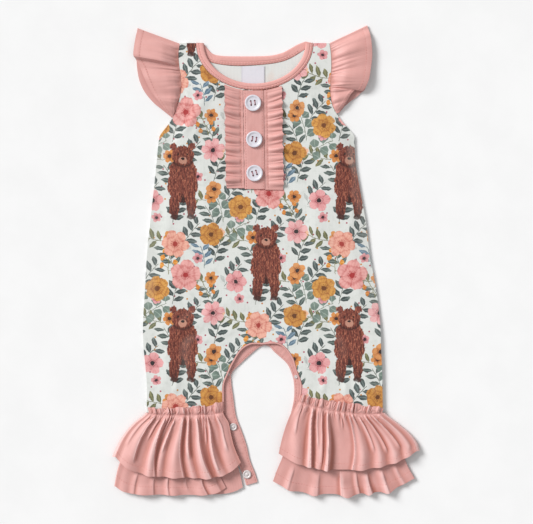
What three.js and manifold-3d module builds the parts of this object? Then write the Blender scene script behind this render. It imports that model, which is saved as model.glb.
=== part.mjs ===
// A baby romper laid flat on its back: printed jersey body with a curved neck, a buttoned placket between two
// pleated frills, flutter sleeves, a snapped inseam and two gathered ruffle tiers round each leg.
// Millimetres. X runs across the garment, Y from the hems up to the shoulders, Z up off the surface.
import * as THREE from 'three';
import { mergeVertices } from 'three/addons/utils/BufferGeometryUtils.js';
import Module from 'manifold-3d';

// Cloth and stacking sizes
const WALL = 1.2;
const GAP = 0.3;
const LAYER = WALL + GAP;
const STEEP_LIMIT = 1.7;

// Body outline: the armholes and side seams, a row for each height
const SILHOUETTE = [
  { y: 230.5, left: -91, right: 67 },
  { y: 219.5, left: -92.5, right: 68.5 },
  { y: 205.5, left: -91.5, right: 69 },
  { y: 192, left: -89.8, right: 68.3 },
  { y: 178, left: -90, right: 67.8 },
  { y: 165, left: -93.5, right: 70 },
  { y: 156, left: -96.5, right: 74.5 },
  { y: 147, left: -101.5, right: 81 },
  { y: 133, left: -112, right: 93 },
  { y: 128, left: -113.3, right: 93.3 },
  { y: 102, left: -116, right: 95 },
  { y: 77.5, left: -118.5, right: 99 },
  { y: 41.5, left: -122.5, right: 105.5 },
  { y: 5.5, left: -126, right: 110 },
  { y: -30.5, left: -128, right: 116.5 },
  { y: -64.5, left: -130, right: 120.5 },
  { y: -90, left: -129.5, right: 121.5 },
  { y: -111.5, left: -127.5, right: 122.5 },
  { y: -130, left: -126, right: 123 },
  { y: -161, left: -126, right: 123.5 },
];

// Centre front line, a row for each height
const CENTRE_LINE = [
  { y: 216.8, x: -12 },
  { y: 100, x: -11.5 },
  { y: 43, x: -10.5 },
  { y: -25, x: -7.5 },
  { y: -89, x: -4 },
];

// Front neck: two half ellipses hung from the shoulder line, with the binding between them
const NECK = {
  x: -12,
  y: 230.5,
  innerHalfWidth: 53.7,
  innerDepth: 42.9,
  outerHalfWidth: 62,
  outerDepth: 49.7,
};
const BINDING_ROLL = 0.9;

// Back neck from the centre (s 0) to each shoulder (s 1): the bound top edge and the seam below the binding
const BACK_NECK = [
  { s: 0, leftX: -12, leftY: 216.8, rightX: -12, rightY: 216.8, seamLX: -12, seamLY: 207.3, seamRX: -12, seamRY: 207.3 },
  { s: 0.25, leftX: -30, leftY: 216.8, rightX: 5, rightY: 217.6, seamLX: -29, seamLY: 206.6, seamRX: 4, seamRY: 208.8 },
  { s: 0.45, leftX: -46.6, leftY: 217.3, rightX: 17, rightY: 220.5, seamLX: -44, seamLY: 207.6, seamRX: 18, seamRY: 211.5 },
  { s: 0.62, leftX: -56.2, leftY: 219.4, rightX: 25.4, rightY: 224.7, seamLX: -58, seamLY: 210.5, seamRX: 28.5, seamRY: 216 },
  { s: 0.8, leftX: -62, leftY: 225, rightX: 33, rightY: 229, seamLX: -68.5, seamLY: 217.5, seamRX: 38, seamRY: 222 },
  { s: 1, leftX: -66.5, leftY: 230.5, rightX: 41.5, rightY: 232.5, seamLX: -75, seamLY: 230.5, seamRX: 50, seamRY: 230.5 },
];

// Front inseam edge from the crotch (s 0) to the stitched leg ends (s 1)
const CROTCH_FRONT = [
  { s: 0, leftX: -4, leftY: -86.2, rightX: -4, rightY: -86.2 },
  { s: 0.15, leftX: -17, leftY: -86.6, rightX: 11, rightY: -85.8 },
  { s: 0.3, leftX: -27.6, leftY: -93.5, rightX: 20.6, rightY: -90.8 },
  { s: 0.47, leftX: -36, leftY: -106.5, rightX: 29, rightY: -102.5 },
  { s: 0.6, leftX: -41.6, leftY: -118.2, rightX: 33, rightY: -115.5 },
  { s: 0.75, leftX: -46.2, leftY: -130.5, rightX: 37.6, rightY: -128 },
  { s: 0.88, leftX: -46.4, leftY: -145, rightX: 38, rightY: -138 },
  { s: 1, leftX: -46.2, leftY: -159.2, rightX: 36.2, rightY: -147 },
];
const FRONT_RIM = 2;

// Edge of the space between the legs, which is also the free edge of the snap strip
const CROTCH_GAP = [
  { s: 0, leftX: -1.5, leftY: -88.9, rightX: -1.5, rightY: -88.9 },
  { s: 0.04, leftX: -6.6, leftY: -91, rightX: 3.6, rightY: -90.6 },
  { s: 0.1, leftX: -13.8, leftY: -96.5, rightX: 8.5, rightY: -96 },
  { s: 0.22, leftX: -27.6, leftY: -109.2, rightX: 22, rightY: -108.5 },
  { s: 0.3, leftX: -36.2, leftY: -118.5, rightX: 27.2, rightY: -119 },
  { s: 0.38, leftX: -37, leftY: -128, rightX: 29.5, rightY: -129 },
  { s: 0.48, leftX: -35, leftY: -143, rightX: 29.7, rightY: -145 },
  { s: 0.6, leftX: -31.8, leftY: -164.4, rightX: 25.8, rightY: -164 },
  { s: 0.7, leftX: -25.8, leftY: -180.5, rightX: 22.5, rightY: -180 },
  { s: 0.79, leftX: -20.6, leftY: -196, rightX: 19, rightY: -196 },
  { s: 0.87, leftX: -17.2, leftY: -211, rightX: 17.3, rightY: -209 },
  { s: 0.95, leftX: -11.5, leftY: -225.5, rightX: 15, rightY: -220 },
  { s: 1, leftX: -9, leftY: -234, rightX: 13.5, rightY: -228 },
];
const STRIP_WIDTH = 12.5;

// Stitched leg ends, the same share of the back inseam (backLeft, backRight) reaching them on each side
const LEG_END = { sideY: -160, bowLeft: 2.5, bowRight: 5, backLeft: 0.55, backRight: 0.472 };

// Rows and columns of the panel halves; a band sewn along an edge takes the same steps
const FRONT_GRID = { neckRows: 12, bodyRows: 10, legRows: 10, neckSideY: 131.5, crotchSideY: -84, columns: 8 };
const BACK_GRID = { neckRows: 12, bodyRows: 5, legRows: 10, neckSideY: 131.5, crotchSideY: -78, columns: 3 };

// Lift and soft creases of the front over the back
const CROWN = { rise: 1.7, fade: 26 };
const LEG_LIFT = { from: -50, over: 38 };
const CREASES = [
  { x: -78, y: 150, angle: 62, length: 34, width: 6, rise: 1.3 },
  { x: -92, y: 118, angle: 48, length: 30, width: 6, rise: 0.9 },
  { x: 60, y: 148, angle: 122, length: 30, width: 6, rise: 1.2 },
  { x: 74, y: 112, angle: 128, length: 32, width: 7, rise: 0.9 },
  { x: -60, y: 40, angle: 100, length: 60, width: 10, rise: 0.9 },
  { x: 52, y: 20, angle: 82, length: 64, width: 11, rise: 1 },
  { x: -70, y: -62, angle: 28, length: 40, width: 8, rise: 1.2 },
  { x: 66, y: -60, angle: 150, length: 40, width: 8, rise: 1.1 },
  { x: -104, y: -110, angle: 84, length: 40, width: 8, rise: 1 },
  { x: 98, y: -112, angle: 96, length: 38, width: 8, rise: 1 },
];

// Flutter sleeves, from the underarm up to the shoulder fold: armhole height, front hem and back hem
const SLEEVE_LEFT = [
  { armY: 151.5, hemX: -100.5, hemY: 152.5, backX: -101, backY: 153, lift: 0 },
  { armY: 160, hemX: -107.5, hemY: 161.5, backX: -111, backY: 161, lift: 1 },
  { armY: 170, hemX: -115, hemY: 170.5, backX: -119.5, backY: 168, lift: 2 },
  { armY: 180, hemX: -122.5, hemY: 181, backX: -128.5, backY: 179, lift: 1.5 },
  { armY: 190, hemX: -128, hemY: 192, backX: -134, backY: 191, lift: 2.5 },
  { armY: 199, hemX: -133, hemY: 204, backX: -136.5, backY: 204, lift: 0.6 },
  { armY: 204, hemX: -137.5, hemY: 213, backX: -137, backY: 213, lift: 0.6 },
  { armY: 208, hemX: -139.8, hemY: 217, backX: -136.5, backY: 217.5, lift: 5 },
  { armY: 216, hemX: -139.2, hemY: 226, backX: -136.2, backY: 226, lift: 4 },
  { armY: 223, hemX: -137.8, hemY: 236, backX: -136, backY: 236, lift: 2 },
  { armY: 229, hemX: -136, hemY: 245.3, backX: -136, backY: 245.3, lift: 0 },
];
const SLEEVE_RIGHT = [
  { armY: 156, hemX: 77.5, hemY: 157.5, backX: 78, backY: 157.5, lift: 0 },
  { armY: 163, hemX: 84.5, hemY: 167, backX: 85, backY: 165.5, lift: 1 },
  { armY: 171, hemX: 90, hemY: 176.5, backX: 95.5, backY: 173.5, lift: 1.5 },
  { armY: 179, hemX: 96.5, hemY: 182, backX: 101, backY: 178.5, lift: 0.6 },
  { armY: 184.5, hemX: 102.5, hemY: 180, backX: 104.5, backY: 181.5, lift: 0.8 },
  { armY: 188.5, hemX: 108, hemY: 190, backX: 107, backY: 189, lift: 4.5 },
  { armY: 197, hemX: 110.5, hemY: 203, backX: 109.5, backY: 202, lift: 3.5 },
  { armY: 206, hemX: 112, hemY: 216, backX: 111, backY: 215, lift: 2.5 },
  { armY: 215, hemX: 111.5, hemY: 228, backX: 110.8, backY: 227, lift: 3.5 },
  { armY: 223, hemX: 110, hemY: 239, backX: 109.5, backY: 238.5, lift: 2 },
  { armY: 229.5, hemX: 107.3, hemY: 248.3, backX: 107.3, backY: 248.3, lift: 0 },
];
const SLEEVE = { gathers: 8, gatherRise: 1.2, crown: 2.2, columns: 5, frontRows: 32, backRows: 10 };

// Ruffle tiers: a row for each level from the frilled heading (v below 0) and stitching (v 0) to the hem (v 1).
// round squares off the hem's corners, dip is how far a fold's rise lowers the hem.
const UPPER_LEFT = {
  round: 4,
  dip: 0.25,
  rows: [
    { v: -0.15, inX: -46, inY: -147.5, outX: -127.8, outY: -153, sag: 4, backX: -46 },
    { v: 0, inX: -45.5, inY: -159.6, outX: -127.4, outY: -160.6, sag: 2.5, backX: -47.2 },
    { v: 0.25, inX: -39.5, inY: -171, outX: -140, outY: -171.3, sag: 7, backX: -44 },
    { v: 0.5, inX: -36.8, inY: -184, outX: -150, outY: -182.8, sag: 11, backX: -39.4 },
    { v: 0.75, inX: -33, inY: -197.5, outX: -157.3, outY: -194.8, sag: 14.5, backX: -34.4 },
    { v: 1, inX: -26.5, inY: -212.5, outX: -162.5, outY: -206.5, sag: 18, backX: -30.6 },
  ],
  folds: [
    { top: 0.05, hem: 0.07, width: 0.05, rise: 3 },
    { top: 0.23, hem: 0.15, width: 0.036, rise: 4.2 },
    { top: 0.34, hem: 0.27, width: 0.05, rise: 5 },
    { top: 0.46, hem: 0.375, width: 0.03, rise: 2.6 },
    { top: 0.51, hem: 0.54, width: 0.055, rise: 4.9 },
    { top: 0.61, hem: 0.66, width: 0.032, rise: 2.6 },
    { top: 0.743, hem: 0.735, width: 0.04, rise: 4.8 },
    { top: 0.9, hem: 0.905, width: 0.07, rise: 3.6 },
  ],
  gathers: 12,
};
const UPPER_RIGHT = {
  round: 2.5,
  dip: 0.3,
  rows: [
    { v: -0.13, inX: 36.5, inY: -141, outX: 127.4, outY: -154.6, sag: 0.8, backX: 42 },
    { v: 0, inX: 33.5, inY: -147.9, outX: 126, outY: -160.4, sag: 5, backX: 43.6 },
    { v: 0.25, inX: 26, inY: -161.5, outX: 139.5, outY: -171.3, sag: 8, backX: 39.6 },
    { v: 0.5, inX: 20.8, inY: -174.5, outX: 151.5, outY: -181.5, sag: 12, backX: 36.6 },
    { v: 0.75, inX: 16.6, inY: -188.5, outX: 159.5, outY: -191.5, sag: 15, backX: 33.6 },
    { v: 1, inX: 13.3, inY: -203, outX: 162.5, outY: -200.5, sag: 18, backX: 31 },
  ],
  folds: [
    { top: 0.06, hem: 0.13, width: 0.06, rise: 3.6 },
    { top: 0.19, hem: 0.215, width: 0.026, rise: 3.2 },
    { top: 0.27, hem: 0.29, width: 0.034, rise: 3.4 },
    { top: 0.365, hem: 0.345, width: 0.026, rise: 4.8 },
    { top: 0.635, hem: 0.6, width: 0.05, rise: 4.7 },
    { top: 0.75, hem: 0.735, width: 0.038, rise: 3.6 },
    { top: 0.84, hem: 0.85, width: 0.04, rise: 3.8 },
    { top: 0.94, hem: 0.94, width: 0.035, rise: 2.6 },
  ],
  gathers: 13,
};
const LOWER_LEFT = {
  round: 6,
  dip: 0.15,
  rows: [
    { v: 0, inX: -47.6, inY: -160.6, outX: -124, outY: -161.6, sag: 2.5, backX: -47.2 },
    { v: 0.35, inX: -49, inY: -185, outX: -140, outY: -184.5, sag: 9, backX: -37.6 },
    { v: 0.7, inX: -50.5, inY: -212, outX: -153, outY: -208.5, sag: 13, backX: -31 },
    { v: 0.85, inX: -49, inY: -226, outX: -157.5, outY: -222, sag: 11, backX: -27.4 },
    { v: 1, inX: -42.5, inY: -239.5, outX: -160.5, outY: -238.3, sag: 8, backX: -24.6 },
  ],
  folds: [
    { top: 0.12, hem: 0.1, width: 0.05, rise: 2.6 },
    { top: 0.26, hem: 0.22, width: 0.05, rise: 2.8 },
    { top: 0.45, hem: 0.47, width: 0.06, rise: 3.6 },
    { top: 0.7, hem: 0.74, width: 0.08, rise: 3.8 },
    { top: 0.93, hem: 0.93, width: 0.04, rise: 1.6 },
  ],
  gathers: 12,
};
const LOWER_RIGHT = {
  round: 3.2,
  dip: 0.9,
  rows: [
    { v: 0, inX: 35.5, inY: -148.4, outX: 122.5, outY: -161.4, sag: 5, backX: 43.6 },
    { v: 0.35, inX: 28, inY: -176, outX: 136, outY: -184, sag: 8, backX: 36.2 },
    { v: 0.7, inX: 17, inY: -208, outX: 146, outY: -207, sag: 12, backX: 30.2 },
    { v: 0.85, inX: 12, inY: -220, outX: 151, outY: -218.5, sag: 15, backX: 28 },
    { v: 1, inX: 7.3, inY: -232.7, outX: 157.5, outY: -230, sag: 14.5, backX: 26.4 },
  ],
  folds: [
    { top: 0.1, hem: 0.12, width: 0.04, rise: 2 },
    { top: 0.28, hem: 0.29, width: 0.045, rise: 2.8 },
    { top: 0.52, hem: 0.53, width: 0.05, rise: 4.4 },
    { top: 0.66, hem: 0.68, width: 0.028, rise: 2.8 },
    { top: 0.78, hem: 0.82, width: 0.045, rise: 4 },
  ],
  gathers: 13,
};
const TIER = { upperColumns: 48, lowerColumns: 36, backColumns: 5, gatherRise: 1.1, hemFloat: 2 };
const UPPER_LEVELS = [-1, 0, 0.1, 0.26, 0.46, 0.66, 0.84, 1];
const LOWER_LEVELS = [0, 0.5, 0.74, 0.87, 1];

// Placket and the pleated frills sewn along both sides of it
const PLACKET = { top: 180, bottom: 76, left: -24.2, right: -2.6, lean: 1.6, rows: 8 };
const FRILL = { width: 18.6, columns: 3, rows: 52, pleatWidth: 2.7, bottomLeft: 76.8, bottomRight: 75.2 };
const PLEATS_LEFT = [
  { y: 179, rise: 2.6 },
  { y: 171, rise: 3.6 },
  { y: 163.5, rise: 3.2 },
  { y: 153.7, rise: 5.2 },
  { y: 141.5, rise: 4.2 },
  { y: 134, rise: 3.6 },
  { y: 125.5, rise: 4.4 },
  { y: 116.5, rise: 4 },
  { y: 104.5, rise: 4.6 },
  { y: 94.5, rise: 3.8 },
  { y: 85, rise: 5 },
];
const PLEATS_RIGHT = [
  { y: 174, rise: 2 },
  { y: 162, rise: 3.6 },
  { y: 152.5, rise: 4.2 },
  { y: 143.5, rise: 3.6 },
  { y: 130, rise: 4.8 },
  { y: 116.5, rise: 4.6 },
  { y: 107, rise: 2.6 },
  { y: 98.5, rise: 4.4 },
  { y: 90.5, rise: 4 },
  { y: 81.5, rise: 3 },
];

// Buttons, label and snap fasteners
const BUTTONS = [
  { name: 'button_top', x: -13.8, y: 166.6 },
  { name: 'button_middle', x: -12.5, y: 128.3 },
  { name: 'button_bottom', x: -12.1, y: 92.6 },
];
const BUTTON = { radius: 8.7, height: 2.6, dish: 0.9, rim: 1.7, holeRadius: 0.95, holeOffset: 2.1, sides: 20 };
const LABEL = { left: -26, right: -1.6, top: 206.2, bottom: 179.5, thickness: 0.7 };
const SNAPS = [
  { name: 'snap_open_upper', x: -34.6, y: -175.6, radius: 4, height: 1.8 },
  { name: 'snap_open_lower', x: -20.2, y: -225.8, radius: 4.6, height: 2 },
  { name: 'snap_closed_crotch', x: -5.8, y: -86.4, radius: 2, height: 1.1 },
  { name: 'snap_closed_left', x: -40.4, y: -119.6, radius: 2, height: 1.1 },
  { name: 'snap_closed_right', x: 31.6, y: -122.6, radius: 2, height: 1.1 },
];

// Materials
const COLOURS = {
  print: { color: '#d6d3cc', roughness: 0.9 },
  pink: { color: '#d09a94', roughness: 0.75 },
  binding: { color: '#d6a09b', roughness: 0.8 },
  button: { color: '#d2d0d6', roughness: 0.35 },
  label: { color: '#d6d4da', roughness: 0.7 },
  snap: { color: '#c9c4c2', roughness: 0.3 },
};

// Small mathematics
const mix = (a, b, t) => a + (b - a) * t;
const clamp01 = (t) => Math.min(1, Math.max(0, t));
const smooth = (t) => {
  const c = clamp01(t);
  return c * c * (3 - 2 * c);
};
const bell = (d) => Math.exp(-d * d);

// A table read at any place along its key column, curved smoothly through the rows
function readTable(rows, key, at) {
  const sign = rows[1][key] > rows[0][key] ? 1 : -1;
  let k = 0;
  while (k < rows.length - 2 && (at - rows[k + 1][key]) * sign > 0) {
    k += 1;
  }
  const a = rows[k];
  const b = rows[k + 1];
  const before = rows[Math.max(0, k - 1)];
  const after = rows[Math.min(rows.length - 1, k + 2)];
  const span = b[key] - a[key];
  const t = clamp01((at - a[key]) / span);
  const result = {};
  for (const column of Object.keys(a)) {
    if (column === key) {
      continue;
    }
    const slopeA = ((b[column] - before[column]) / (b[key] - before[key])) * span;
    const slopeB = ((after[column] - a[column]) / (after[key] - a[key])) * span;
    result[column] =
      a[column] * (2 * t ** 3 - 3 * t ** 2 + 1) +
      slopeA * (t ** 3 - 2 * t ** 2 + t) +
      b[column] * (3 * t ** 2 - 2 * t ** 3) +
      slopeB * (t ** 3 - t ** 2);
  }
  return result;
}

// Garment lines
const sideAt = (side, y) => readTable(SILHOUETTE, 'y', y)[side < 0 ? 'left' : 'right'];
const centreAt = (y) => readTable(CENTRE_LINE, 'y', y).x;
const neckPoint = (side, turn, halfWidth, depth) => [
  NECK.x + side * halfWidth * Math.cos(turn),
  NECK.y - depth * Math.sin(turn),
];

function edgePoint(table, side, s) {
  const row = readTable(table, 's', s);
  return side < 0 ? [row.leftX, row.leftY] : [row.rightX, row.rightY];
}

// A point moved off an inseam edge, away from the space between the legs when distance is positive
function offsetFromGap(table, side, s, distance) {
  const step = 0.004;
  const p = edgePoint(table, side, Math.max(0, s - step));
  const q = edgePoint(table, side, Math.min(1, s + step));
  const size = Math.hypot(q[0] - p[0], q[1] - p[1]);
  const turnIn = smooth(s / 0.16);
  const nx = (turnIn * side * -(q[1] - p[1])) / size;
  const ny = mix(1, (side * (q[0] - p[0])) / size, turnIn);
  const norm = Math.hypot(nx, ny);
  const at = edgePoint(table, side, s);
  return [at[0] + (nx / norm) * distance, at[1] + (ny / norm) * distance];
}

// Height of the front's lower face above the surface
function frontHeight(x, y) {
  const rims =
    smooth((x - sideAt(-1, y)) / CROWN.fade) *
    smooth((sideAt(1, y) - x) / CROWN.fade) *
    smooth((NECK.y - y) / CROWN.fade) *
    smooth((y + 92) / 60);
  let creases = 0;
  for (const crease of CREASES) {
    const turn = (crease.angle * Math.PI) / 180;
    const along = (x - crease.x) * Math.cos(turn) + (y - crease.y) * Math.sin(turn);
    const across = (y - crease.y) * Math.cos(turn) - (x - crease.x) * Math.sin(turn);
    creases += crease.rise * bell(along / crease.length) * bell(across / crease.width);
  }
  const seamFade = smooth((x - sideAt(-1, y)) / 12) * smooth((sideAt(1, y) - x) / 12) * smooth((y + 155) / 30);
  return LAYER + LAYER * smooth((LEG_LIFT.from - y) / LEG_LIFT.over) + CROWN.rise * rims + creases * seamFade;
}

// Volume inside a closed mesh, negative when its faces point inwards
function signedVolume(places, index) {
  let volume = 0;
  for (let k = 0; k < index.length; k += 3) {
    const [a, b, c] = [places[index[k]], places[index[k + 1]], places[index[k + 2]]];
    volume +=
      a[0] * (b[1] * c[2] - b[2] * c[1]) + a[1] * (b[2] * c[0] - b[0] * c[2]) + a[2] * (b[0] * c[1] - b[1] * c[0]);
  }
  return volume / 6;
}

// A closed body from patches of paired points: each point has an outer place and an inner place.
// Patches that share points are joined there, and every free edge is closed by a wall.
function clothBody(patches) {
  const places = [];
  const pairs = new Map();
  const pairIndex = (point) => {
    const key = [...point.outer, ...point.inner].map((n) => Math.round(n * 1000)).join(',');
    if (!pairs.has(key)) {
      pairs.set(key, pairs.size);
      places.push(point.outer, point.inner);
    }
    return pairs.get(key);
  };
  const outerFaces = [];
  for (const patch of patches) {
    const grid = patch.rows.map((row) => row.map(pairIndex));
    for (let j = 0; j + 1 < grid.length; j += 1) {
      for (let i = 0; i + 1 < grid[j].length; i += 1) {
        const quad = [grid[j][i], grid[j][i + 1], grid[j + 1][i + 1], grid[j + 1][i]];
        if (patch.flip) {
          quad.reverse();
        }
        outerFaces.push([quad[0], quad[1], quad[2]], [quad[0], quad[2], quad[3]]);
      }
    }
  }
  const faces = outerFaces.filter((f) => f[0] !== f[1] && f[1] !== f[2] && f[2] !== f[0]);
  const edges = new Set();
  for (const [a, b, c] of faces) {
    edges.add(`${a}_${b}`).add(`${b}_${c}`).add(`${c}_${a}`);
  }
  const index = [];
  for (const [a, b, c] of faces) {
    index.push(2 * a, 2 * b, 2 * c, 2 * c + 1, 2 * b + 1, 2 * a + 1);
    for (const [p, q] of [[a, b], [b, c], [c, a]]) {
      if (!edges.has(`${q}_${p}`)) {
        index.push(2 * q, 2 * p, 2 * p + 1, 2 * q, 2 * p + 1, 2 * q + 1);
      }
    }
  }
  if (signedVolume(places, index) < 0) {
    index.reverse();
  }
  const geometry = new THREE.BufferGeometry();
  geometry.setAttribute('position', new THREE.Float32BufferAttribute(places.flat(), 3));
  geometry.setIndex(index);
  return geometry;
}

// Rows of lower-face points given a cloth thickness that grows a little where the cloth is steep
function thicken(rows, thickness) {
  return rows.map((row, j) =>
    row.map((point, i) => {
      const left = row[Math.max(0, i - 1)];
      const right = row[Math.min(row.length - 1, i + 1)];
      const up = rows[Math.max(0, j - 1)][i];
      const down = rows[Math.min(rows.length - 1, j + 1)][i];
      const across = (right[2] - left[2]) / Math.max(0.01, Math.hypot(right[0] - left[0], right[1] - left[1]));
      const along = (down[2] - up[2]) / Math.max(0.01, Math.hypot(down[0] - up[0], down[1] - up[1]));
      const steep = Math.min(STEEP_LIMIT, Math.sqrt(1 + across * across + along * along));
      return { outer: [point[0], point[1], point[2] + thickness * steep], inner: point };
    }),
  );
}

// One half of a panel: rows that run from its neck, centre or inseam line out to the side
function panelHalf(side, lines, columns, heightAt) {
  const rows = lines.map(({ inner, outer, bow }) => {
    const row = [];
    for (let i = 0; i <= columns; i += 1) {
      const u = i / columns;
      const x = mix(inner[0], outer[0], u);
      const y = mix(inner[1], outer[1], u) - bow * 4 * u * (1 - u);
      row.push([x, y, heightAt(x, y)]);
    }
    return row;
  });
  return { rows: thicken(rows, WALL), flip: side > 0 };
}

// The row lines of one half panel, in three stretches: neck, body and leg
function halfLines(side, neckAt, inseamAt, shape) {
  const lines = [];
  const sidePoint = (y) => [sideAt(side, y), y];
  for (let k = 0; k < shape.neckRows; k += 1) {
    const t = k / shape.neckRows;
    lines.push({ inner: neckAt(t), outer: sidePoint(mix(NECK.y, shape.neckSideY, t)), bow: 0 });
  }
  const neckBottom = neckAt(1);
  const crotch = inseamAt(0);
  for (let k = 0; k < shape.bodyRows; k += 1) {
    const t = k / shape.bodyRows;
    const y = mix(neckBottom[1], crotch[1], t);
    const x = k === 0 ? neckBottom[0] : centreAt(y);
    lines.push({ inner: [x, y], outer: sidePoint(mix(shape.neckSideY, shape.crotchSideY, t)), bow: 0 });
  }
  for (let k = 0; k <= shape.legRows; k += 1) {
    const t = k / shape.legRows;
    const bow = side < 0 ? LEG_END.bowLeft : LEG_END.bowRight;
    lines.push({
      inner: inseamAt(t),
      outer: sidePoint(mix(shape.crotchSideY, LEG_END.sideY, t)),
      bow: bow * t * t,
    });
  }
  return lines;
}

function frontPanel() {
  const patches = [-1, 1].map((side) => {
    const neckAt = (t) => neckPoint(side, (t * Math.PI) / 2, NECK.outerHalfWidth + GAP, NECK.outerDepth + GAP);
    const inseamAt = (t) => edgePoint(CROTCH_FRONT, side, t);
    return panelHalf(side, halfLines(side, neckAt, inseamAt, FRONT_GRID), FRONT_GRID.columns, frontHeight);
  });
  return clothBody(patches);
}

function backPanel() {
  const patches = [-1, 1].map((side) => {
    const neckAt = (t) => {
      const row = readTable(BACK_NECK, 's', 1 - t);
      return side < 0 ? [row.seamLX, row.seamLY - GAP] : [row.seamRX, row.seamRY - GAP];
    };
    const end = side < 0 ? LEG_END.backLeft : LEG_END.backRight;
    const inseamAt = (t) => offsetFromGap(CROTCH_GAP, side, t * end, STRIP_WIDTH + GAP);
    return panelHalf(side, halfLines(side, neckAt, inseamAt, BACK_GRID), BACK_GRID.columns, () => 0);
  });
  return clothBody(patches);
}

// A rolled band between two edge lines, flat beneath
function band(edgePairs, height, roll) {
  const across = 4;
  return edgePairs.map(({ first, second, fade }) => {
    const row = [];
    for (let i = 0; i <= across; i += 1) {
      const u = i / across;
      const x = mix(first[0], second[0], u);
      const y = mix(first[1], second[1], u);
      const z = height(x, y);
      const rolled = roll * fade * (1 - (2 * u - 1) ** 2);
      row.push({ outer: [x, y, z + WALL + rolled], inner: [x, y, z] });
    }
    return row;
  });
}

function frontNeckBinding() {
  const steps = 2 * FRONT_GRID.neckRows;
  const pairs = [];
  for (let k = 0; k <= steps; k += 1) {
    const turn = (k / steps) * Math.PI;
    pairs.push({
      first: neckPoint(1, turn, NECK.innerHalfWidth, NECK.innerDepth),
      second: neckPoint(1, turn, NECK.outerHalfWidth, NECK.outerDepth),
      fade: 1,
    });
  }
  return clothBody([{ rows: band(pairs, frontHeight, BINDING_ROLL), flip: false }]);
}

function backNeckBinding() {
  const steps = BACK_GRID.neckRows;
  const patches = [-1, 1].map((side) => {
    const pairs = [];
    for (let k = 0; k <= steps; k += 1) {
      const s = k / steps;
      const row = readTable(BACK_NECK, 's', s);
      const top = side < 0 ? [row.leftX, row.leftY] : [row.rightX, row.rightY];
      const seam = side < 0 ? [row.seamLX, row.seamLY] : [row.seamRX, row.seamRY];
      pairs.push({ first: top, second: seam, fade: smooth((0.62 - s) / 0.15) });
    }
    return { rows: band(pairs, () => 0, BINDING_ROLL), flip: side > 0 };
  });
  return clothBody(patches);
}

// The snap strip along the back inseam, from one leg end over the crotch to the other
function backSnapStrip() {
  const steps = BACK_GRID.legRows;
  const patches = [-1, 1].map((side) => {
    const end = side < 0 ? LEG_END.backLeft : LEG_END.backRight;
    const rows = [];
    for (let k = 0; k <= 2 * steps; k += 1) {
      const s = k <= steps ? (end * k) / steps : mix(end, 1, (k - steps) / steps);
      rows.push([0, 1].map((u) => [...offsetFromGap(CROTCH_GAP, side, s, u * STRIP_WIDTH), 0]));
    }
    return { rows: thicken(rows, WALL), flip: side > 0 };
  });
  return clothBody(patches);
}

// The narrow rolled rim that finishes the front inseam
function frontInseamRim() {
  const steps = FRONT_GRID.legRows;
  const patches = [-1, 1].map((side) => {
    const rows = [];
    for (let k = 0; k <= steps; k += 1) {
      const s = k / steps;
      rows.push(
        [-FRONT_RIM, -GAP].map((distance) => {
          const [x, y] = offsetFromGap(CROTCH_FRONT, side, s, distance);
          return [x, y, frontHeight(x, y)];
        }),
      );
    }
    return { rows: thicken(rows, WALL), flip: side > 0 };
  });
  return clothBody(patches);
}

// A sleeve is one strip folded over the shoulder: gathered front, shoulder fold, flat back
function sleeve(side, table) {
  const last = table.length - 1;
  const keyed = table.map((row, k) => ({ ...row, t: k / last }));
  const sheet = (steps, cellAt) => {
    const rows = [];
    for (let k = 0; k <= steps; k += 1) {
      const row = readTable(keyed, 't', k / steps);
      const armX = sideAt(side, row.armY) + side * GAP;
      const cells = [];
      for (let i = 0; i <= SLEEVE.columns; i += 1) {
        cells.push(cellAt(i / SLEEVE.columns, k / steps, row, armX));
      }
      rows.push(cells);
    }
    return rows;
  };
  const frontPatch = thicken(
    sheet(SLEEVE.frontRows, (u, t, row, armX) => {
      const ends = smooth(t / 0.12) * smooth((1 - t) / 0.12);
      const wave = 0.5 * (1 - Math.cos(2 * Math.PI * SLEEVE.gathers * t));
      const gather = SLEEVE.gatherRise * wave * (1 - u * 0.75) * smooth(u / 0.12);
      const crown = SLEEVE.crown * Math.sin(Math.PI * (u * 0.8 + 0.1)) * smooth(u / 0.2);
      const rise = (gather + crown + row.lift * smooth(u / 0.4)) * ends;
      return [mix(armX, row.hemX, u), mix(row.armY, row.hemY, u), LAYER + rise];
    }),
    WALL,
  );
  const backPatch = sheet(SLEEVE.backRows, (u, t, row, armX) => {
    const x = mix(armX, row.backX, u);
    const y = mix(row.armY, row.backY, u);
    return { outer: [x, y, 0], inner: [x, y, WALL] };
  });
  const topFront = frontPatch[SLEEVE.frontRows];
  const topBack = backPatch[SLEEVE.backRows];
  const foldRows = [0, 1, 2, 3, 4].map((k) =>
    topFront.map((point, i) => {
      const turn = Math.PI / 2 - (k * Math.PI) / 4;
      const place = (from, to) => {
        const half = (from[2] - to[2]) / 2;
        return [from[0], from[1] + half * Math.cos(turn), (from[2] + to[2]) / 2 + half * Math.sin(turn)];
      };
      return { outer: place(point.outer, topBack[i].outer), inner: place(point.inner, topBack[i].inner) };
    }),
  );
  backPatch[SLEEVE.backRows] = foldRows[4];
  return clothBody([
    { rows: frontPatch, flip: side > 0 },
    { rows: [topFront, ...foldRows.slice(1)], flip: side > 0 },
    { rows: [...backPatch].reverse(), flip: side > 0 },
  ]);
}

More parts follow.
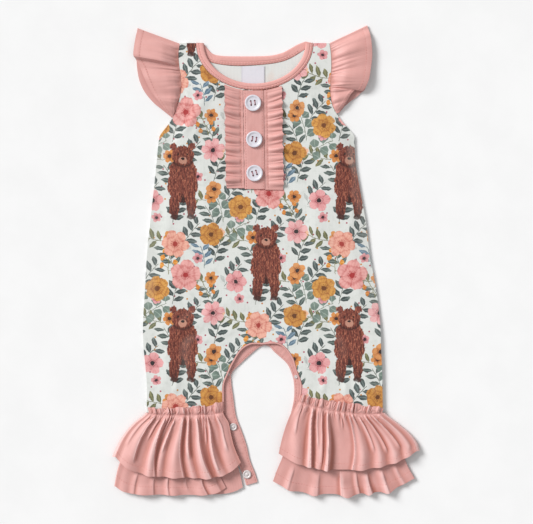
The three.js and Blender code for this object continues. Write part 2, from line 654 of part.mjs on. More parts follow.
// Rise of a ruffle's folds at u across the tier and v down it
function foldRise(tier, place, u, v) {
  let rise = 0;
  for (const fold of tier.folds) {
    const spread = fold.width * mix(0.6, 1, clamp01(v));
    rise += fold.rise * bell((u - mix(fold.top, fold.hem, clamp01(v))) / spread);
  }
  const gather = 0.5 * (1 - Math.cos(2 * Math.PI * tier.gathers * u)) * place.gatherRise;
  const ends = smooth(u / 0.03) * smooth((1 - u) / 0.05);
  return (rise * place.opening(v) + gather * bell(v / 0.3)) * ends;
}

// One tier: the folded front, the turn at the outer side and the flat back, all one strip of cloth
function ruffleTier(side, tier, place) {
  const point = (u, row) => [
    mix(row.inX, row.outX, u),
    mix(row.inY, row.outY, u) - row.sag * (1 - Math.abs(2 * u - 1) ** tier.round),
  ];
  const turnHalf = (height) => (height + WALL - place.backBottom) / 2;
  const levels = place.levels.map((v) => (v < 0 ? -v * tier.rows[0].v : v));
  const frontRows = levels.map((v) => {
    const row = readTable(tier.rows, 'v', v);
    const base = place.frontBottom + place.float(v);
    row.outX -= side * turnHalf(base);
    const cells = [];
    for (let i = 0; i <= place.columns; i += 1) {
      const u = i / place.columns;
      const [x, y] = point(u, row);
      const rise = foldRise(tier, place, u, v);
      const hemDip = v > 0 ? tier.dip * rise * v * v : 0;
      cells.push([x, y - hemDip, base + rise]);
    }
    return cells;
  });
  const front = thicken(frontRows, WALL);
  const round = [];
  levels.forEach((v, j) => {
    if (v < 0) {
      return;
    }
    const row = readTable(tier.rows, 'v', v);
    const start = front[j][place.columns];
    const half = (start.outer[2] - place.backBottom) / 2;
    const innerHalf = (start.inner[2] - place.backBottom - WALL) / 2;
    const middle = place.backBottom + half;
    const innerMiddle = place.backBottom + WALL + innerHalf;
    const cells = [start];
    for (const degrees of [45, 0, -45, -90]) {
      const turn = (degrees * Math.PI) / 180;
      cells.push({
        outer: [start.outer[0] + side * half * Math.cos(turn), start.outer[1], middle + half * Math.sin(turn)],
        inner: [
          start.inner[0] + side * innerHalf * Math.cos(turn),
          start.inner[1],
          innerMiddle + innerHalf * Math.sin(turn),
        ],
      });
    }
    for (let i = TIER.backColumns - 1; i >= 0; i -= 1) {
      const u = i / TIER.backColumns;
      const x = mix(row.backX, start.outer[0], u);
      const y = point(u, row)[1];
      cells.push({ outer: [x, y, place.backBottom], inner: [x, y, place.backBottom + WALL] });
    }
    round.push(cells);
  });
  return clothBody([
    { rows: front, flip: side > 0 },
    { rows: round, flip: side > 0 },
  ]);
}

const upperPlace = {
  levels: UPPER_LEVELS,
  columns: TIER.upperColumns,
  backBottom: 0,
  frontBottom: 3 * LAYER,
  gatherRise: TIER.gatherRise,
  float: (v) => TIER.hemFloat * smooth((v - 0.4) / 0.6),
  opening: (v) => mix(0.2, 1, smooth(v / 0.8)),
};
const lowerPlace = {
  levels: LOWER_LEVELS,
  columns: TIER.lowerColumns,
  backBottom: LAYER,
  frontBottom: 2 * LAYER,
  gatherRise: 0,
  float: () => 0,
  opening: (v) => mix(0.3 * smooth((v - 0.6) / 0.24), 1, smooth((v - 0.84) / 0.16)),
};

// Left and right edges of the placket lean very slightly as they run down
const placketX = (edge, y) => edge + PLACKET.lean * ((PLACKET.top - y) / (PLACKET.top - PLACKET.bottom));

function placketStrip() {
  const rows = [];
  for (let k = 0; k <= PLACKET.rows; k += 1) {
    const y = mix(PLACKET.top, PLACKET.bottom, k / PLACKET.rows);
    rows.push(
      [0, 0.5, 1].map((u) => {
        const x = placketX(mix(PLACKET.left, PLACKET.right, u), y);
        return [x, y, frontHeight(x, y) + LAYER];
      }),
    );
  }
  return clothBody([{ rows: thicken(rows, WALL), flip: true }]);
}

// A frill: sewn flat along the placket, pleated ever higher towards its free edge
function placketFrill(side, pleats, bottom) {
  const rows = [];
  for (let k = 0; k <= FRILL.rows; k += 1) {
    const t = k / FRILL.rows;
    const row = [];
    for (let i = 0; i <= FRILL.columns; i += 1) {
      const u = i / FRILL.columns;
      const seamEdge = side < 0 ? PLACKET.left - GAP : PLACKET.right + GAP;
      const roughY = mix(PLACKET.top, bottom, t);
      let wave = 0;
      for (const pleat of pleats) {
        wave += pleat.rise * bell((roughY - pleat.y) / FRILL.pleatWidth);
      }
      const reach = FRILL.width * u + 0.32 * wave * u * u;
      const x = placketX(seamEdge, roughY) + side * reach;
      const neckDrop = Math.sqrt(1 - Math.min(1, ((x - NECK.x) / (NECK.outerHalfWidth + 1.2)) ** 2));
      const topY = NECK.y - (NECK.outerDepth + 1.2) * neckDrop;
      const y = mix(topY, bottom, t);
      const ends = smooth(t / 0.03) * smooth((1 - t) / 0.03);
      const rise = wave * mix(0.12, 1, smooth(u / 0.85)) * ends;
      row.push([x, y, frontHeight(x, y) + LAYER + rise]);
    }
    rows.push(row);
  }
  return clothBody([{ rows: thicken(rows, WALL), flip: side > 0 }]);
}

function neckLabel() {
  const rows = [0, 1].map((k) => {
    const y = mix(LABEL.top, LABEL.bottom, k);
    return [
      [LABEL.left, y, LAYER],
      [LABEL.right, y, LAYER],
    ];
  });
  return clothBody([{ rows: thicken(rows, LABEL.thickness), flip: true }]);
}

// Round pieces: a lathe profile, dished inside a raised rim
const wasm = await Module();
wasm.setup();

function toManifold(geometry) {
  const bare = geometry.clone();
  bare.deleteAttribute('normal');
  bare.deleteAttribute('uv');
  const merged = mergeVertices(bare, 1e-4);
  return new wasm.Manifold(
    new wasm.Mesh({
      numProp: 3,
      vertProperties: new Float32Array(merged.attributes.position.array),
      triVerts: new Uint32Array(merged.index.array),
    }),
  );
}

function fromManifold(solid) {
  const mesh = solid.getMesh();
  const geometry = new THREE.BufferGeometry();
  geometry.setAttribute('position', new THREE.BufferAttribute(new Float32Array(mesh.vertProperties), 3));
  geometry.setIndex(new THREE.BufferAttribute(new Uint32Array(mesh.triVerts), 1));
  return geometry;
}

function buttonShape() {
  const { radius, height, dish, rim, holeRadius, holeOffset, sides } = BUTTON;
  const profile = [
    [0, 0],
    [radius - 0.6, 0],
    [radius, 0.6],
    [radius, height - 0.7],
    [radius - 0.6, height],
    [radius - rim, height - 0.2],
    [radius - rim - 0.8, height - dish],
    [0, height - dish],
  ];
  const lathe = new THREE.LatheGeometry(profile.map(([x, y]) => new THREE.Vector2(x, y)), sides);
  lathe.rotateX(Math.PI / 2);
  let solid = toManifold(lathe);
  for (const [sx, sy] of [[-1, -1], [-1, 1], [1, -1], [1, 1]]) {
    const drill = new THREE.CylinderGeometry(holeRadius, holeRadius, 2 * height, 6);
    drill.rotateX(Math.PI / 2);
    drill.translate(sx * holeOffset, sy * holeOffset, height / 2);
    solid = solid.subtract(toManifold(drill));
  }
  return fromManifold(solid);
}

function snapShape(radius, height) {
  const profile = [
    [0, 0],
    [radius - 0.3, 0],
    [radius, 0.3],
    [radius, height * 0.6],
    [radius * 0.75, height],
    [radius * 0.45, height * 0.6],
    [0, height * 0.6],
  ];
  const lathe = new THREE.LatheGeometry(profile.map(([x, y]) => new THREE.Vector2(x, y)), 10);
  lathe.rotateX(Math.PI / 2);
  return lathe;
}

// Highest point of the placket strip under a button
function placketTop(x, y, reach) {
  let top = 0;
  for (let k = 0; k < 12; k += 1) {
    const turn = (k * Math.PI) / 6;
    top = Math.max(top, frontHeight(x + reach * Math.cos(turn), y + reach * Math.sin(turn)));
  }
  return Math.max(top, frontHeight(x, y)) + LAYER + WALL;
}

// The garment
const romper = new THREE.Group();

function addPiece(name, geometry, finish, position = [0, 0, 0]) {
  const material = new THREE.MeshStandardMaterial({ ...COLOURS[finish], metalness: 0 });
  const mesh = new THREE.Mesh(geometry, material);
  mesh.name = name;
  mesh.position.set(...position);
  romper.add(mesh);
}

addPiece('back_panel', backPanel(), 'print');
addPiece('front_panel', frontPanel(), 'print');
addPiece('neck_binding_back', backNeckBinding(), 'binding');
addPiece('neck_binding_front', frontNeckBinding(), 'binding');
addPiece('neck_label', neckLabel(), 'label');
addPiece('placket_strip', placketStrip(), 'pink');
addPiece('placket_frill_left', placketFrill(-1, PLEATS_LEFT, FRILL.bottomLeft), 'pink');
addPiece('placket_frill_right', placketFrill(1, PLEATS_RIGHT, FRILL.bottomRight), 'pink');
addPiece('sleeve_left', sleeve(-1, SLEEVE_LEFT), 'pink');
addPiece('sleeve_right', sleeve(1, SLEEVE_RIGHT), 'pink');
addPiece('inseam_strip_back', backSnapStrip(), 'binding');
addPiece('inseam_rim_front', frontInseamRim(), 'binding');
addPiece('ruffle_upper_left', ruffleTier(-1, UPPER_LEFT, upperPlace), 'pink');
addPiece('ruffle_upper_right', ruffleTier(1, UPPER_RIGHT, upperPlace), 'pink');
addPiece('ruffle_lower_left', ruffleTier(-1, LOWER_LEFT, lowerPlace), 'pink');
addPiece('ruffle_lower_right', ruffleTier(1, LOWER_RIGHT, lowerPlace), 'pink');
const buttonGeometry = buttonShape();
for (const { name, x, y } of BUTTONS) {
  addPiece(name, buttonGeometry, 'button', [x, y, placketTop(x, y, BUTTON.radius) + GAP]);
}
for (const { name, x, y, radius, height } of SNAPS) {
  addPiece(name, snapShape(radius, height), 'snap', [x, y, LAYER]);
}

export default romper;
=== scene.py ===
"""A baby romper laid flat on its back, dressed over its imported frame: printed jersey body, buttoned placket between
two pleated frills, flutter sleeves, snapped inseam and two gathered ruffle tiers round each leg.

Sizes are millimetres in the tables and turned to metres when a mesh is made. X runs across the garment, Y from the
hems up to the shoulders, Z up off the floor.
"""
import logging
import math
from dataclasses import dataclass
from enum import Enum
from typing import Callable, Optional, Sequence, Union

import bmesh
import bpy
import numpy as np
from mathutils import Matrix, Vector


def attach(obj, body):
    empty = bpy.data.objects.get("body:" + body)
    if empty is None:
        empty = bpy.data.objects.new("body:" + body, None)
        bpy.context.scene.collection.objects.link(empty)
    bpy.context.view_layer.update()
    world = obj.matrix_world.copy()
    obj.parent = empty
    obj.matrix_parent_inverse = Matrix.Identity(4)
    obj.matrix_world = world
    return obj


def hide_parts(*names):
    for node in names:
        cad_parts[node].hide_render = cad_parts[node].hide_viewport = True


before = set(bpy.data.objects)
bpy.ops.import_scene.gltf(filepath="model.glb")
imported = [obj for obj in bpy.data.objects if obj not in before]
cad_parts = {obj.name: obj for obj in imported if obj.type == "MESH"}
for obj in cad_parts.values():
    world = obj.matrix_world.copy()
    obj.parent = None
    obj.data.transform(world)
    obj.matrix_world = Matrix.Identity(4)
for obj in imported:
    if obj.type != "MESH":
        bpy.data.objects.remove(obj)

LOG = logging.getLogger("romper")
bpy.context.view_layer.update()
MM = 0.001

# Cloth and stacking sizes
WALL = 1.2
GAP = 0.3
LAYER = WALL + GAP
STEEP_LIMIT = 1.7


@dataclass(frozen=True)
class Table:
    """Rows of named columns, the first of which is the key, read smoothly at any place along it."""

    columns: tuple[str, ...]
    rows: tuple[tuple[float, ...], ...]

    def read(self, at: np.ndarray) -> dict[str, np.ndarray]:
        """Reads every column at some places along the key.

        Args:
            at: places along the key column, of any shape.

        Returns:
            One array of the same shape for each column.
        """
        data = np.array(self.rows, float)
        if data[0, 0] > data[-1, 0]:
            data = data[::-1]
        at = np.asarray(at, float)
        k = np.clip(np.searchsorted(data[:, 0], at, side="right") - 1, 0, len(data) - 2)
        a, b = data[k], data[k + 1]
        before, after = data[np.maximum(k - 1, 0)], data[np.minimum(k + 2, len(data) - 1)]
        span = b[..., :1] - a[..., :1]
        t = np.clip((at[..., None] - a[..., :1]) / span, 0, 1)
        slope_a = (b - before) / (b[..., :1] - before[..., :1]) * span
        slope_b = (after - a) / (after[..., :1] - a[..., :1]) * span
        values = (
            a * (2 * t**3 - 3 * t**2 + 1)
            + slope_a * (t**3 - 2 * t**2 + t)
            + b * (3 * t**2 - 2 * t**3)
            + slope_b * (t**3 - t**2)
        )
        return {name: values[..., i] for i, name in enumerate(self.columns)}

    def each(self) -> list[dict[str, float]]:
        """The rows as dictionaries, for tables that list things."""
        return [dict(zip(self.columns, row)) for row in self.rows]


SILHOUETTE = Table(
    ("y", "left", "right"),
    (
        (230.5, -91, 67), (219.5, -92.5, 68.5), (205.5, -91.5, 69), (192, -89.8, 68.3), (178, -90, 67.8),
        (165, -93.5, 70), (156, -96.5, 74.5), (147, -101.5, 81), (133, -112, 93), (128, -113.3, 93.3), (102, -116, 95),
        (77.5, -118.5, 99), (41.5, -122.5, 105.5), (5.5, -126, 110), (-30.5, -128, 116.5), (-64.5, -130, 120.5),
        (-90, -129.5, 121.5), (-111.5, -127.5, 122.5), (-130, -126, 123), (-161, -126, 123.5),
    ),
)
CENTRE_LINE = Table(
    ("y", "x"),
    (
        (216.8, -12), (100, -11.5), (43, -10.5), (-25, -7.5), (-89, -4),
    ),
)
BACK_NECK = Table(
    ("s", "left_x", "left_y", "right_x", "right_y", "seam_l_x", "seam_l_y", "seam_r_x", "seam_r_y"),
    (
        (0, -12, 216.8, -12, 216.8, -12, 207.3, -12, 207.3), (0.25, -30, 216.8, 5, 217.6, -29, 206.6, 4, 208.8),
        (0.45, -46.6, 217.3, 17, 220.5, -44, 207.6, 18, 211.5),
        (0.62, -56.2, 219.4, 25.4, 224.7, -58, 210.5, 28.5, 216), (0.8, -62, 225, 33, 229, -68.5, 217.5, 38, 222),
        (1, -66.5, 230.5, 41.5, 232.5, -75, 230.5, 50, 230.5),
    ),
)
CROTCH_FRONT = Table(
    ("s", "left_x", "left_y", "right_x", "right_y"),
    (
        (0, -4, -86.2, -4, -86.2), (0.15, -17, -86.6, 11, -85.8), (0.3, -27.6, -93.5, 20.6, -90.8),
        (0.47, -36, -106.5, 29, -102.5), (0.6, -41.6, -118.2, 33, -115.5), (0.75, -46.2, -130.5, 37.6, -128),
        (0.88, -46.4, -145, 38, -138), (1, -46.2, -159.2, 36.2, -147),
    ),
)
CROTCH_GAP = Table(
    ("s", "left_x", "left_y", "right_x", "right_y"),
    (
        (0, -1.5, -88.9, -1.5, -88.9), (0.04, -6.6, -91, 3.6, -90.6), (0.1, -13.8, -96.5, 8.5, -96),
        (0.22, -27.6, -109.2, 22, -108.5), (0.3, -36.2, -118.5, 27.2, -119), (0.38, -37, -128, 29.5, -129),
        (0.48, -35, -143, 29.7, -145), (0.6, -31.8, -164.4, 25.8, -164), (0.7, -25.8, -180.5, 22.5, -180),
        (0.79, -20.6, -196, 19, -196), (0.87, -17.2, -211, 17.3, -209), (0.95, -11.5, -225.5, 15, -220),
        (1, -9, -234, 13.5, -228),
    ),
)
CREASES = Table(
    ("x", "y", "angle", "length", "width", "rise"),
    (
        (-78, 150, 62, 34, 6, 1.3), (-92, 118, 48, 30, 6, 0.9), (60, 148, 122, 30, 6, 1.2), (74, 112, 128, 32, 7, 0.9),
        (-60, 40, 100, 60, 10, 0.9), (52, 20, 82, 64, 11, 1), (-70, -62, 28, 40, 8, 1.2), (66, -60, 150, 40, 8, 1.1),
        (-104, -110, 84, 40, 8, 1), (98, -112, 96, 38, 8, 1),
    ),
)
SLEEVE_LEFT = Table(
    ("arm_y", "hem_x", "hem_y", "back_x", "back_y", "lift"),
    (
        (151.5, -100.5, 152.5, -101, 153, 0), (160, -107.5, 161.5, -111, 161, 1), (170, -115, 170.5, -119.5, 168, 2),
        (180, -122.5, 181, -128.5, 179, 1.5), (190, -128, 192, -134, 191, 2.5), (199, -133, 204, -136.5, 204, 0.6),
        (204, -137.5, 213, -137, 213, 0.6), (208, -139.8, 217, -136.5, 217.5, 5), (216, -139.2, 226, -136.2, 226, 4),
        (223, -137.8, 236, -136, 236, 2), (229, -136, 245.3, -136, 245.3, 0),
    ),
)
SLEEVE_RIGHT = Table(
    ("arm_y", "hem_x", "hem_y", "back_x", "back_y", "lift"),
    (
        (156, 77.5, 157.5, 78, 157.5, 0), (163, 84.5, 167, 85, 165.5, 1), (171, 90, 176.5, 95.5, 173.5, 1.5),
        (179, 96.5, 182, 101, 178.5, 0.6), (184.5, 102.5, 180, 104.5, 181.5, 0.8), (188.5, 108, 190, 107, 189, 4.5),
        (197, 110.5, 203, 109.5, 202, 3.5), (206, 112, 216, 111, 215, 2.5), (215, 111.5, 228, 110.8, 227, 3.5),
        (223, 110, 239, 109.5, 238.5, 2), (229.5, 107.3, 248.3, 107.3, 248.3, 0),
    ),
)
PLEATS_LEFT = Table(
    ("y", "rise"),
    (
        (179, 2.6), (171, 3.6), (163.5, 3.2), (153.7, 5.2), (141.5, 4.2), (134, 3.6), (125.5, 4.4), (116.5, 4),
        (104.5, 4.6), (94.5, 3.8), (85, 5),
    ),
)
PLEATS_RIGHT = Table(
    ("y", "rise"),
    (
        (174, 2), (162, 3.6), (152.5, 4.2), (143.5, 3.6), (130, 4.8), (116.5, 4.6), (107, 2.6), (98.5, 4.4), (90.5, 4),
        (81.5, 3),
    ),
)
UPPER_LEFT_ROWS = Table(
    ("v", "in_x", "in_y", "out_x", "out_y", "sag", "back_x"),
    (
        (-0.15, -46, -147.5, -127.8, -153, 4, -46), (0, -45.5, -159.6, -127.4, -160.6, 2.5, -47.2),
        (0.25, -39.5, -171, -140, -171.3, 7, -44), (0.5, -36.8, -184, -150, -182.8, 11, -39.4),
        (0.75, -33, -197.5, -157.3, -194.8, 14.5, -34.4), (1, -26.5, -212.5, -162.5, -206.5, 18, -30.6),
    ),
)
UPPER_LEFT_FOLDS = Table(
    ("top", "hem", "width", "rise"),
    (
        (0.05, 0.07, 0.05, 3), (0.23, 0.15, 0.036, 4.2), (0.34, 0.27, 0.05, 5), (0.46, 0.375, 0.03, 2.6),
        (0.51, 0.54, 0.055, 4.9), (0.61, 0.66, 0.032, 2.6), (0.743, 0.735, 0.04, 4.8), (0.9, 0.905, 0.07, 3.6),
    ),
)
UPPER_RIGHT_ROWS = Table(
    ("v", "in_x", "in_y", "out_x", "out_y", "sag", "back_x"),
    (
        (-0.13, 36.5, -141, 127.4, -154.6, 0.8, 42), (0, 33.5, -147.9, 126, -160.4, 5, 43.6),
        (0.25, 26, -161.5, 139.5, -171.3, 8, 39.6), (0.5, 20.8, -174.5, 151.5, -181.5, 12, 36.6),
        (0.75, 16.6, -188.5, 159.5, -191.5, 15, 33.6), (1, 13.3, -203, 162.5, -200.5, 18, 31),
    ),
)
UPPER_RIGHT_FOLDS = Table(
    ("top", "hem", "width", "rise"),
    (
        (0.06, 0.13, 0.06, 3.6), (0.19, 0.215, 0.026, 3.2), (0.27, 0.29, 0.034, 3.4), (0.365, 0.345, 0.026, 4.8),
        (0.635, 0.6, 0.05, 4.7), (0.75, 0.735, 0.038, 3.6), (0.84, 0.85, 0.04, 3.8), (0.94, 0.94, 0.035, 2.6),
    ),
)
LOWER_LEFT_ROWS = Table(
    ("v", "in_x", "in_y", "out_x", "out_y", "sag", "back_x"),
    (
        (0, -47.6, -160.6, -124, -161.6, 2.5, -47.2), (0.35, -49, -185, -140, -184.5, 9, -37.6),
        (0.7, -50.5, -212, -153, -208.5, 13, -31), (0.85, -49, -226, -157.5, -222, 11, -27.4),
        (1, -42.5, -239.5, -160.5, -238.3, 8, -24.6),
    ),
)
LOWER_LEFT_FOLDS = Table(
    ("top", "hem", "width", "rise"),
    (
        (0.12, 0.1, 0.05, 2.6), (0.26, 0.22, 0.05, 2.8), (0.45, 0.47, 0.06, 3.6), (0.7, 0.74, 0.08, 3.8),
        (0.93, 0.93, 0.04, 1.6),
    ),
)
LOWER_RIGHT_ROWS = Table(
    ("v", "in_x", "in_y", "out_x", "out_y", "sag", "back_x"),
    (
        (0, 35.5, -148.4, 122.5, -161.4, 5, 43.6), (0.35, 28, -176, 136, -184, 8, 36.2),
        (0.7, 17, -208, 146, -207, 12, 30.2), (0.85, 12, -220, 151, -218.5, 15, 28),
        (1, 7.3, -232.7, 157.5, -230, 14.5, 26.4),
    ),
)
LOWER_RIGHT_FOLDS = Table(
    ("top", "hem", "width", "rise"),
    (
        (0.1, 0.12, 0.04, 2), (0.28, 0.29, 0.045, 2.8), (0.52, 0.53, 0.05, 4.4), (0.66, 0.68, 0.028, 2.8),
        (0.78, 0.82, 0.045, 4),
    ),
)
FINE_CREASES = Table(
    ("x", "y", "angle", "length", "width", "rise"),
    (
        (-86, 139, 52, 20, 2.6, 0.8), (-79, 128, 58, 26, 2.8, 0.6), (70, 137, 128, 20, 2.6, 0.8),
        (64, 124, 122, 26, 2.8, 0.6), (-84, 172, 80, 14, 2.4, 0.5), (62, 176, 98, 14, 2.4, 0.5),
        (-44, -76, 22, 24, 3.4, 0.7), (38, -74, 158, 24, 3.4, 0.7), (-96, -140, 82, 22, 3.2, 1.1),
        (-74, -142, 96, 20, 3.0, 1.2), (-62, -128, 104, 18, 2.6, 0.7), (60, -138, 80, 20, 3.0, 1.1),
        (84, -140, 88, 22, 3.0, 1.1), (108, -142, 96, 18, 2.8, 0.8), (-106, 30, 84, 30, 4.0, 0.5),
        (90, 40, 96, 30, 4.0, 0.5), (-100, -40, 78, 26, 4.0, 0.5), (98, -30, 102, 26, 4.0, 0.5),
    ),
)
CRIMPS_LEFT = Table(
    ("y", "rise", "width", "lean"),
    (
        (175, 1.0, 1.1, 2.0), (167.2, 1.5, 1.0, -1.0), (158.6, 1.6, 1.3, 2.5), (149.3, 1.3, 1.0, -2.0),
        (145.4, 1.0, 0.9, 1.0), (129.8, 1.3, 1.0, -1.6), (121.0, 1.4, 1.1, 1.8), (110.6, 1.5, 1.2, -2.0),
        (99.6, 1.3, 1.0, 1.4), (89.6, 1.2, 1.0, -1.2), (80.6, 1.2, 1.0, 1.0),
    ),
)
CRIMPS_RIGHT = Table(
    ("y", "rise", "width", "lean"),
    (
        (178, 0.9, 1.0, 1.0), (168.0, 1.4, 1.2, -2.0), (157.3, 1.3, 1.0, 1.6), (148.0, 1.3, 1.0, -1.4),
        (137.0, 1.6, 1.3, 2.0), (123.4, 1.5, 1.2, -1.8), (111.7, 1.2, 1.0, 1.4), (102.8, 1.1, 0.9, -1.0),
        (94.4, 1.2, 0.9, 1.2), (85.9, 1.2, 1.0, -1.4),
    ),
)
UPPER_LEFT_CREASES = Table(
    ("top", "hem", "left", "right", "start", "end", "bend", "rise"),
    (
        (0.09, 0.04, 0.010, 0.030, 0.02, 0.75, 1.0, 1.4), (0.21, 0.16, 0.008, 0.022, 0.0, 1.0, 1.1, 1.8),
        (0.265, 0.20, 0.007, 0.016, 0.0, 0.55, 1.0, 1.3), (0.35, 0.24, 0.010, 0.050, 0.0, 1.3, 1.1, 2.2),
        (0.455, 0.37, 0.008, 0.022, 0.02, 0.74, 1.0, 2.0), (0.53, 0.46, 0.012, 0.070, 0.0, 1.3, 0.8, 2.4),
        (0.62, 0.66, 0.008, 0.020, 0.0, 0.66, 1.0, 1.6), (0.755, 0.69, 0.010, 0.045, 0.0, 1.3, 0.9, 2.2),
        (0.82, 0.80, 0.008, 0.020, 0.0, 0.5, 1.0, 1.0), (0.89, 0.87, 0.010, 0.045, 0.0, 0.9, 1.0, 1.6),
        (0.955, 0.965, 0.012, 0.020, 0.0, 0.7, 1.0, 0.9),
    ),
)
UPPER_RIGHT_CREASES = Table(
    ("top", "hem", "left", "right", "start", "end", "bend", "rise"),
    (
        (0.06, 0.10, 0.030, 0.010, 0.0, 0.6, 1.0, 1.2), (0.187, 0.232, 0.022, 0.007, 0.0, 1.3, 1.2, 2.4),
        (0.245, 0.285, 0.016, 0.008, 0.02, 0.7, 1.0, 1.1), (0.292, 0.305, 0.014, 0.008, 0.0, 1.0, 1.0, 1.2),
        (0.356, 0.348, 0.016, 0.006, 0.0, 1.3, 1.0, 3.0), (0.51, 0.44, 0.012, 0.010, 0.02, 0.34, 1.0, 1.2),
        (0.60, 0.535, 0.006, 0.020, 0.0, 1.3, 1.0, 1.9), (0.71, 0.70, 0.024, 0.010, 0.02, 0.75, 1.0, 2.0),
        (0.78, 0.80, 0.022, 0.009, 0.0, 0.8, 0.9, 2.0), (0.87, 0.90, 0.020, 0.009, 0.0, 0.8, 0.9, 1.8),
        (0.95, 0.965, 0.018, 0.010, 0.0, 0.9, 1.0, 1.0),
    ),
)
LOWER_LEFT_CREASES = Table(
    ("top", "hem", "left", "right", "start", "end", "bend", "rise"),
    (
        (0.06, 0.05, 0.010, 0.030, 0.7, 1.3, 1.0, 1.0), (0.20, 0.17, 0.010, 0.040, 0.7, 1.3, 1.0, 1.6),
        (0.36, 0.33, 0.010, 0.025, 0.7, 1.0, 1.0, 0.9), (0.50, 0.52, 0.010, 0.035, 0.7, 1.3, 1.0, 1.5),
        (0.64, 0.66, 0.010, 0.030, 0.7, 1.3, 1.0, 1.0), (0.80, 0.84, 0.012, 0.040, 0.7, 1.3, 1.0, 1.2),
    ),
)
LOWER_RIGHT_CREASES = Table(
    ("top", "hem", "left", "right", "start", "end", "bend", "rise"),
    (
        (0.12, 0.10, 0.030, 0.010, 0.7, 1.3, 1.0, 1.2), (0.30, 0.31, 0.036, 0.012, 0.7, 1.3, 1.0, 1.2),
        (0.48, 0.49, 0.008, 0.040, 0.7, 1.3, 1.0, 2.2), (0.60, 0.61, 0.020, 0.008, 0.7, 1.3, 1.0, 1.5),
        (0.675, 0.70, 0.026, 0.008, 0.7, 1.3, 1.0, 1.9), (0.80, 0.82, 0.030, 0.010, 0.7, 1.3, 1.0, 1.8),
        (0.90, 0.93, 0.016, 0.010, 0.7, 1.3, 1.0, 1.2),
    ),
)
NECK_X, NECK_Y = -12.0, 230.5
NECK_INNER = (53.7, 42.9)
NECK_OUTER = (62.0, 49.7)
BINDING_ROLL = 0.9
FRONT_RIM = 2.0
STRIP_WIDTH = 12.5
LEG_SIDE_Y = -160.0
LEG_BOW = {-1: 2.5, 1: 5.0}
LEG_BACK_SHARE = {-1: 0.55, 1: 0.472}
CROWN_RISE, CROWN_FADE = 1.7, 26.0
PLACKET_TOP, PLACKET_BOTTOM, PLACKET_LEFT, PLACKET_RIGHT, PLACKET_LEAN = 180.0, 76.0, -24.2, -2.6, 1.6
FRILL_WIDTH, PLEAT_WIDTH = 18.6, 2.7
FRILL_BOTTOM = {-1: 76.8, 1: 75.2}
LABEL_BOX = (-26.0, -1.6, 206.2, 179.5)
BUTTON_PLACES = (("top", -13.8, 166.6), ("middle", -12.5, 128.3), ("bottom", -12.1, 92.6))
BUTTON_RADIUS, BUTTON_HEIGHT = 8.7, 2.6
SNAP_PLACES = (
    ("snap_open_upper", -34.6, -175.6, 4.0, 1.8), ("snap_open_lower", -20.2, -225.8, 4.6, 2.0),
    ("snap_closed_crotch", -5.8, -86.4, 2.0, 1.1), ("snap_closed_left", -40.4, -119.6, 2.0, 1.1),
    ("snap_closed_right", 31.6, -122.6, 2.0, 1.1),
)


class Slot(Enum):
    """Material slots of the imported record."""

    PRINT = "printed_jersey"
    PINK = "pink_jersey"
    BINDING = "pink_binding"
    LABEL = "woven_label"
    BUTTON = "button_plastic"
    SNAP = "snap_resin"


class Hold(Enum):
    """How a sheet of cloth is held."""

    LAID = "laid"
    GATHERED = "gathered"
    STRETCHED = "stretched"


# Small mathematics on arrays
def mix(a: np.ndarray, b: np.ndarray, t: np.ndarray) -> np.ndarray:
    """The value a share t of the way from a to b."""
    return a + (b - a) * t


def smooth(t: np.ndarray) -> np.ndarray:
    """An eased step from 0 to 1 as t goes from 0 to 1."""
    c = np.clip(t, 0.0, 1.0)
    return c * c * (3 - 2 * c)


def bell(d: np.ndarray) -> np.ndarray:
    """A soft bump of height 1 at d = 0."""
    return np.exp(-np.square(d))


def ripple(x: np.ndarray, y: np.ndarray, seed: int) -> np.ndarray:
    """Smooth unevenness between -1 and 1 with features about one unit wide.

    Args:
        x: places across, in features.
        y: places along, in features.
        seed: which unevenness.

    Returns:
        An array shaped like x.
    """
    lattice = np.random.default_rng(seed).uniform(-1, 1, (128, 128))
    ix, iy = np.floor(x).astype(int), np.floor(y).astype(int)
    tx, ty = smooth(x - ix), smooth(y - iy)
    rows = [lattice[ix % 128, (iy + k) % 128] * (1 - tx) + lattice[(ix + 1) % 128, (iy + k) % 128] * tx for k in (0, 1)]
    return rows[0] * (1 - ty) + rows[1] * ty


# Garment lines
def side_at(side: int, y: np.ndarray) -> np.ndarray:
    """Where the armhole or side seam is at a height."""
    return SILHOUETTE.read(y)["left" if side < 0 else "right"]


def neck_point(side: int, turn: np.ndarray, half: tuple[float, float], grow: float = 0.0) -> np.ndarray:
    """Points on one of the neck's half ellipses.

    Args:
        side: -1 for the left shoulder, 1 for the right.
        turn: angle down from that shoulder, in radians.
        half: half width and depth.
        grow: how far outside the ellipse.

    Returns:
        Points as x, y.
    """
    x = NECK_X + side * (half[0] + grow) * np.cos(turn)
    return np.stack([x, NECK_Y - (half[1] + grow) * np.sin(turn)], -1)


def edge_point(table: Table, side: int, s: np.ndarray) -> np.ndarray:
    """Points on an inseam edge at shares s of its length."""
    row = table.read(s)
    return np.stack([row["left_x"], row["left_y"]] if side < 0 else [row["right_x"], row["right_y"]], -1)


def offset_from_gap(table: Table, side: int, s: np.ndarray, distance: float) -> np.ndarray:
    """Points beside an inseam edge.

    Args:
        table: the edge.
        side: -1 for the left leg, 1 for the right.
        s: shares of the edge's length.
        distance: how far from the space between the legs.

    Returns:
        Points as x, y.
    """
    s = np.asarray(s, float)
    p = edge_point(table, side, np.maximum(0, s - 0.004))
    q = edge_point(table, side, np.minimum(1, s + 0.004))
    run = (q - p) / np.linalg.norm(q - p, axis=-1, keepdims=True)
    turn_in = smooth(s / 0.16)
    normal = np.stack([-turn_in * side * run[..., 1], mix(1.0, side * run[..., 0], turn_in)], -1)
    normal /= np.linalg.norm(normal, axis=-1, keepdims=True)
    return edge_point(table, side, s) + normal * distance


